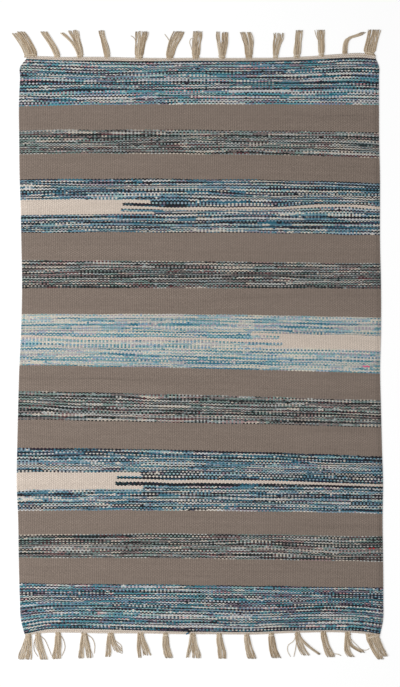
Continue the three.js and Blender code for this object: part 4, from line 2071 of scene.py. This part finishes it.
@dataclass(frozen=True)
class Stage:
    """The pale floor, the soft light from the west, the fill and the camera straight above.

    view_height is how much of the floor the view takes in, from its bottom to its top, and aim is where its
    middle lies across and along the rug, in millimetres.
    """

    outline: Outline
    floor_half: float = 30.0
    floor_drop: float = 0.5 * MM
    floor_colour: float = 0.86
    seen_white: float = 0.62
    seen_strength: float = 1.08
    lamp_place: tuple[float, float, float] = (-1.9, -0.25, 2.4)
    lamp_size: float = 1.1
    lamp_watts: float = 86.0
    fill: float = 0.43
    lens: float = 90.0
    sensor: float = 36.0
    view_height: float = 1319.04 * MM
    aim: Span = (-0.96, 2.88)

    def seen_share(self, pen: NodePen) -> NodeSocket:
        """1 for camera, glossy and transmission rays, and 0 for the rays that light the rug.

        Args:
            pen: the pen on the floor's or the world's tree.

        Returns:
            The output that gives it.
        """
        path = pen.add("LightPath")
        share = pen.math("MAXIMUM", path.outputs["Is Camera Ray"], path.outputs["Is Glossy Ray"])
        return pen.math("MAXIMUM", share, path.outputs["Is Transmission Ray"])

    def floor(self) -> None:
        """A wide flat floor that shows nearly white and keeps the rug's shadow."""
        half = self.floor_half
        points = np.array([[-half, -half, 0], [half, -half, 0], [half, half, 0], [-half, half, 0]])
        mesh = make_mesh("floor", points - np.array([0, 0, self.floor_drop]), [np.array([[0, 1, 2, 3]])])
        material, pen = new_material("pale_floor")
        shader = material.node_tree.nodes["Principled BSDF"]
        shader.inputs["Base Color"].default_value = (self.floor_colour,) * 3 + (1.0,)
        shader.inputs["Roughness"].default_value = 1.0
        shader.inputs["Specular IOR Level"].default_value = 0.0
        white = pen.add("Emission", {"Color": WHITE, "Strength": self.seen_strength})
        share = pen.math("MULTIPLY", self.seen_share(pen), self.seen_white)
        mixed = pen.add("MixShader", {0: share, 1: shader.outputs[0], 2: white.outputs[0]})
        pen.put(material.node_tree.nodes["Material Output"].inputs["Surface"], mixed.outputs[0])
        mesh.materials.append(material)
        floor = add_object("floor", mesh)

    def lamp(self) -> None:
        """One large square lamp, high to the west, turned towards the middle of the rug."""
        light = bpy.data.lights.new("window_light", "AREA")
        light.size = self.lamp_size
        light.energy = self.lamp_watts
        lamp = add_object("window_light", light)
        lamp.location = self.lamp_place
        lamp.rotation_euler = (-Vector(self.lamp_place)).to_track_quat("-Z", "Y").to_euler()

    def surroundings(self) -> None:
        """An even fill from all round, which the camera sees as white."""
        world = bpy.data.worlds.new("studio")
        world.use_nodes = True
        bpy.context.scene.world = world
        pen = NodePen(world.node_tree)
        tone = world.node_tree.nodes["Background"]
        tone.inputs["Color"].default_value = WHITE
        strength = pen.math("MULTIPLY_ADD", self.seen_share(pen), 1.0 - self.fill, self.fill)
        pen.put(tone.inputs["Strength"], strength)

    def camera(self) -> None:
        """A long lens straight above the rug, with the north end at the top of the view."""
        shift = self.outline.shift()
        data = bpy.data.cameras.new("view")
        data.sensor_width = self.sensor
        data.lens = self.lens
        distance = self.lens / self.sensor * self.view_height
        camera = add_object("view", data)
        camera.location = (self.aim[0] * MM + shift[0], self.aim[1] * MM + shift[1], distance)
        bpy.context.scene.camera = camera

    def build(self) -> None:
        """Sets up the floor, the lights and the camera."""
        self.floor()
        self.lamp()
        self.surroundings()
        self.camera()
        bpy.context.scene.view_settings.view_transform = "Standard"


# ---- the rug


def dress(piece: Object, *materials: Material) -> Object:
    """Gives a piece its materials.

    Args:
        piece: the piece.
        materials: the materials, in the order of their slots.

    Returns:
        The same piece.
    """
    for material in materials:
        piece.data.materials.append(material)
    return piece


@dataclass(frozen=True)
class KilimRug:
    """The whole rug: two lengths of cloth, each with the heading and the row of tassels of its end.

    The flat sizes are those of the cloth laid flat: its width, and how much of its length lies south and
    north of the join. The south heading's cords are lighter than the north one's.
    """

    outline: Outline
    join_stripe: int = 12
    flat_width: float = 0.695
    flat_south: float = 0.573
    flat_north: float = 0.527
    south_tone: float = 0.25
    north_tone: float = 0.0

    def lengths(self) -> tuple[Object, Object]:
        """Makes the two lengths of cloth, which meet on the pick where the join's stripe ends.

        Returns:
            The south length and the north one.
        """
        crossings = Weave(self.outline).crossings()
        join = sum(stripe.picks for stripe in STRIPES[: self.join_stripe])
        south = ClothLength(End.SOUTH, crossings.between(0, join)).build()
        north = ClothLength(End.NORTH, crossings.between(join, crossings.rows - 1)).build()
        return south, north

    def build(self) -> None:
        """Builds and dresses every piece."""
        effects = SharedEffects()
        wefts = [WEFT_FINISHES[yarn].material(effects) for yarn in Yarn]
        heading_cord = HEADING_FINISH.material(effects)
        tassel_yarn = TASSEL_FINISH.material(effects)
        south, north = self.lengths()
        loose_end = dress(LooseEnd(self.outline).build(), LOOSE_END_FINISH.material(effects))
        for end, cloth, flat_length, tassels, first_tone, loose in (
            (End.SOUTH, south, self.flat_south, SOUTH_TASSELS, self.south_tone, [loose_end]),
            (End.NORTH, north, self.flat_north, NORTH_TASSELS, self.north_tone, []),
        ):
            dress(cloth, *wefts)
            heading = dress(TwinedHeading(self.outline, end, first_tone=first_tone).build(), heading_cord)
            maker = TasselMaker(self.outline, end)
            trims = [heading, *loose]
            for number, tassel in enumerate(tassels, start=1):
                trims.append(dress(maker.build(number, tassel), tassel_yarn))


def main() -> None:
    """Builds the stage and the rug."""
    logging.basicConfig(level=logging.INFO, format="%(name)s: %(message)s")
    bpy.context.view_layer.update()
    outline = Outline()
    Stage(outline).build()
    KilimRug(outline).build()


if __name__ == "__main__":
    main()
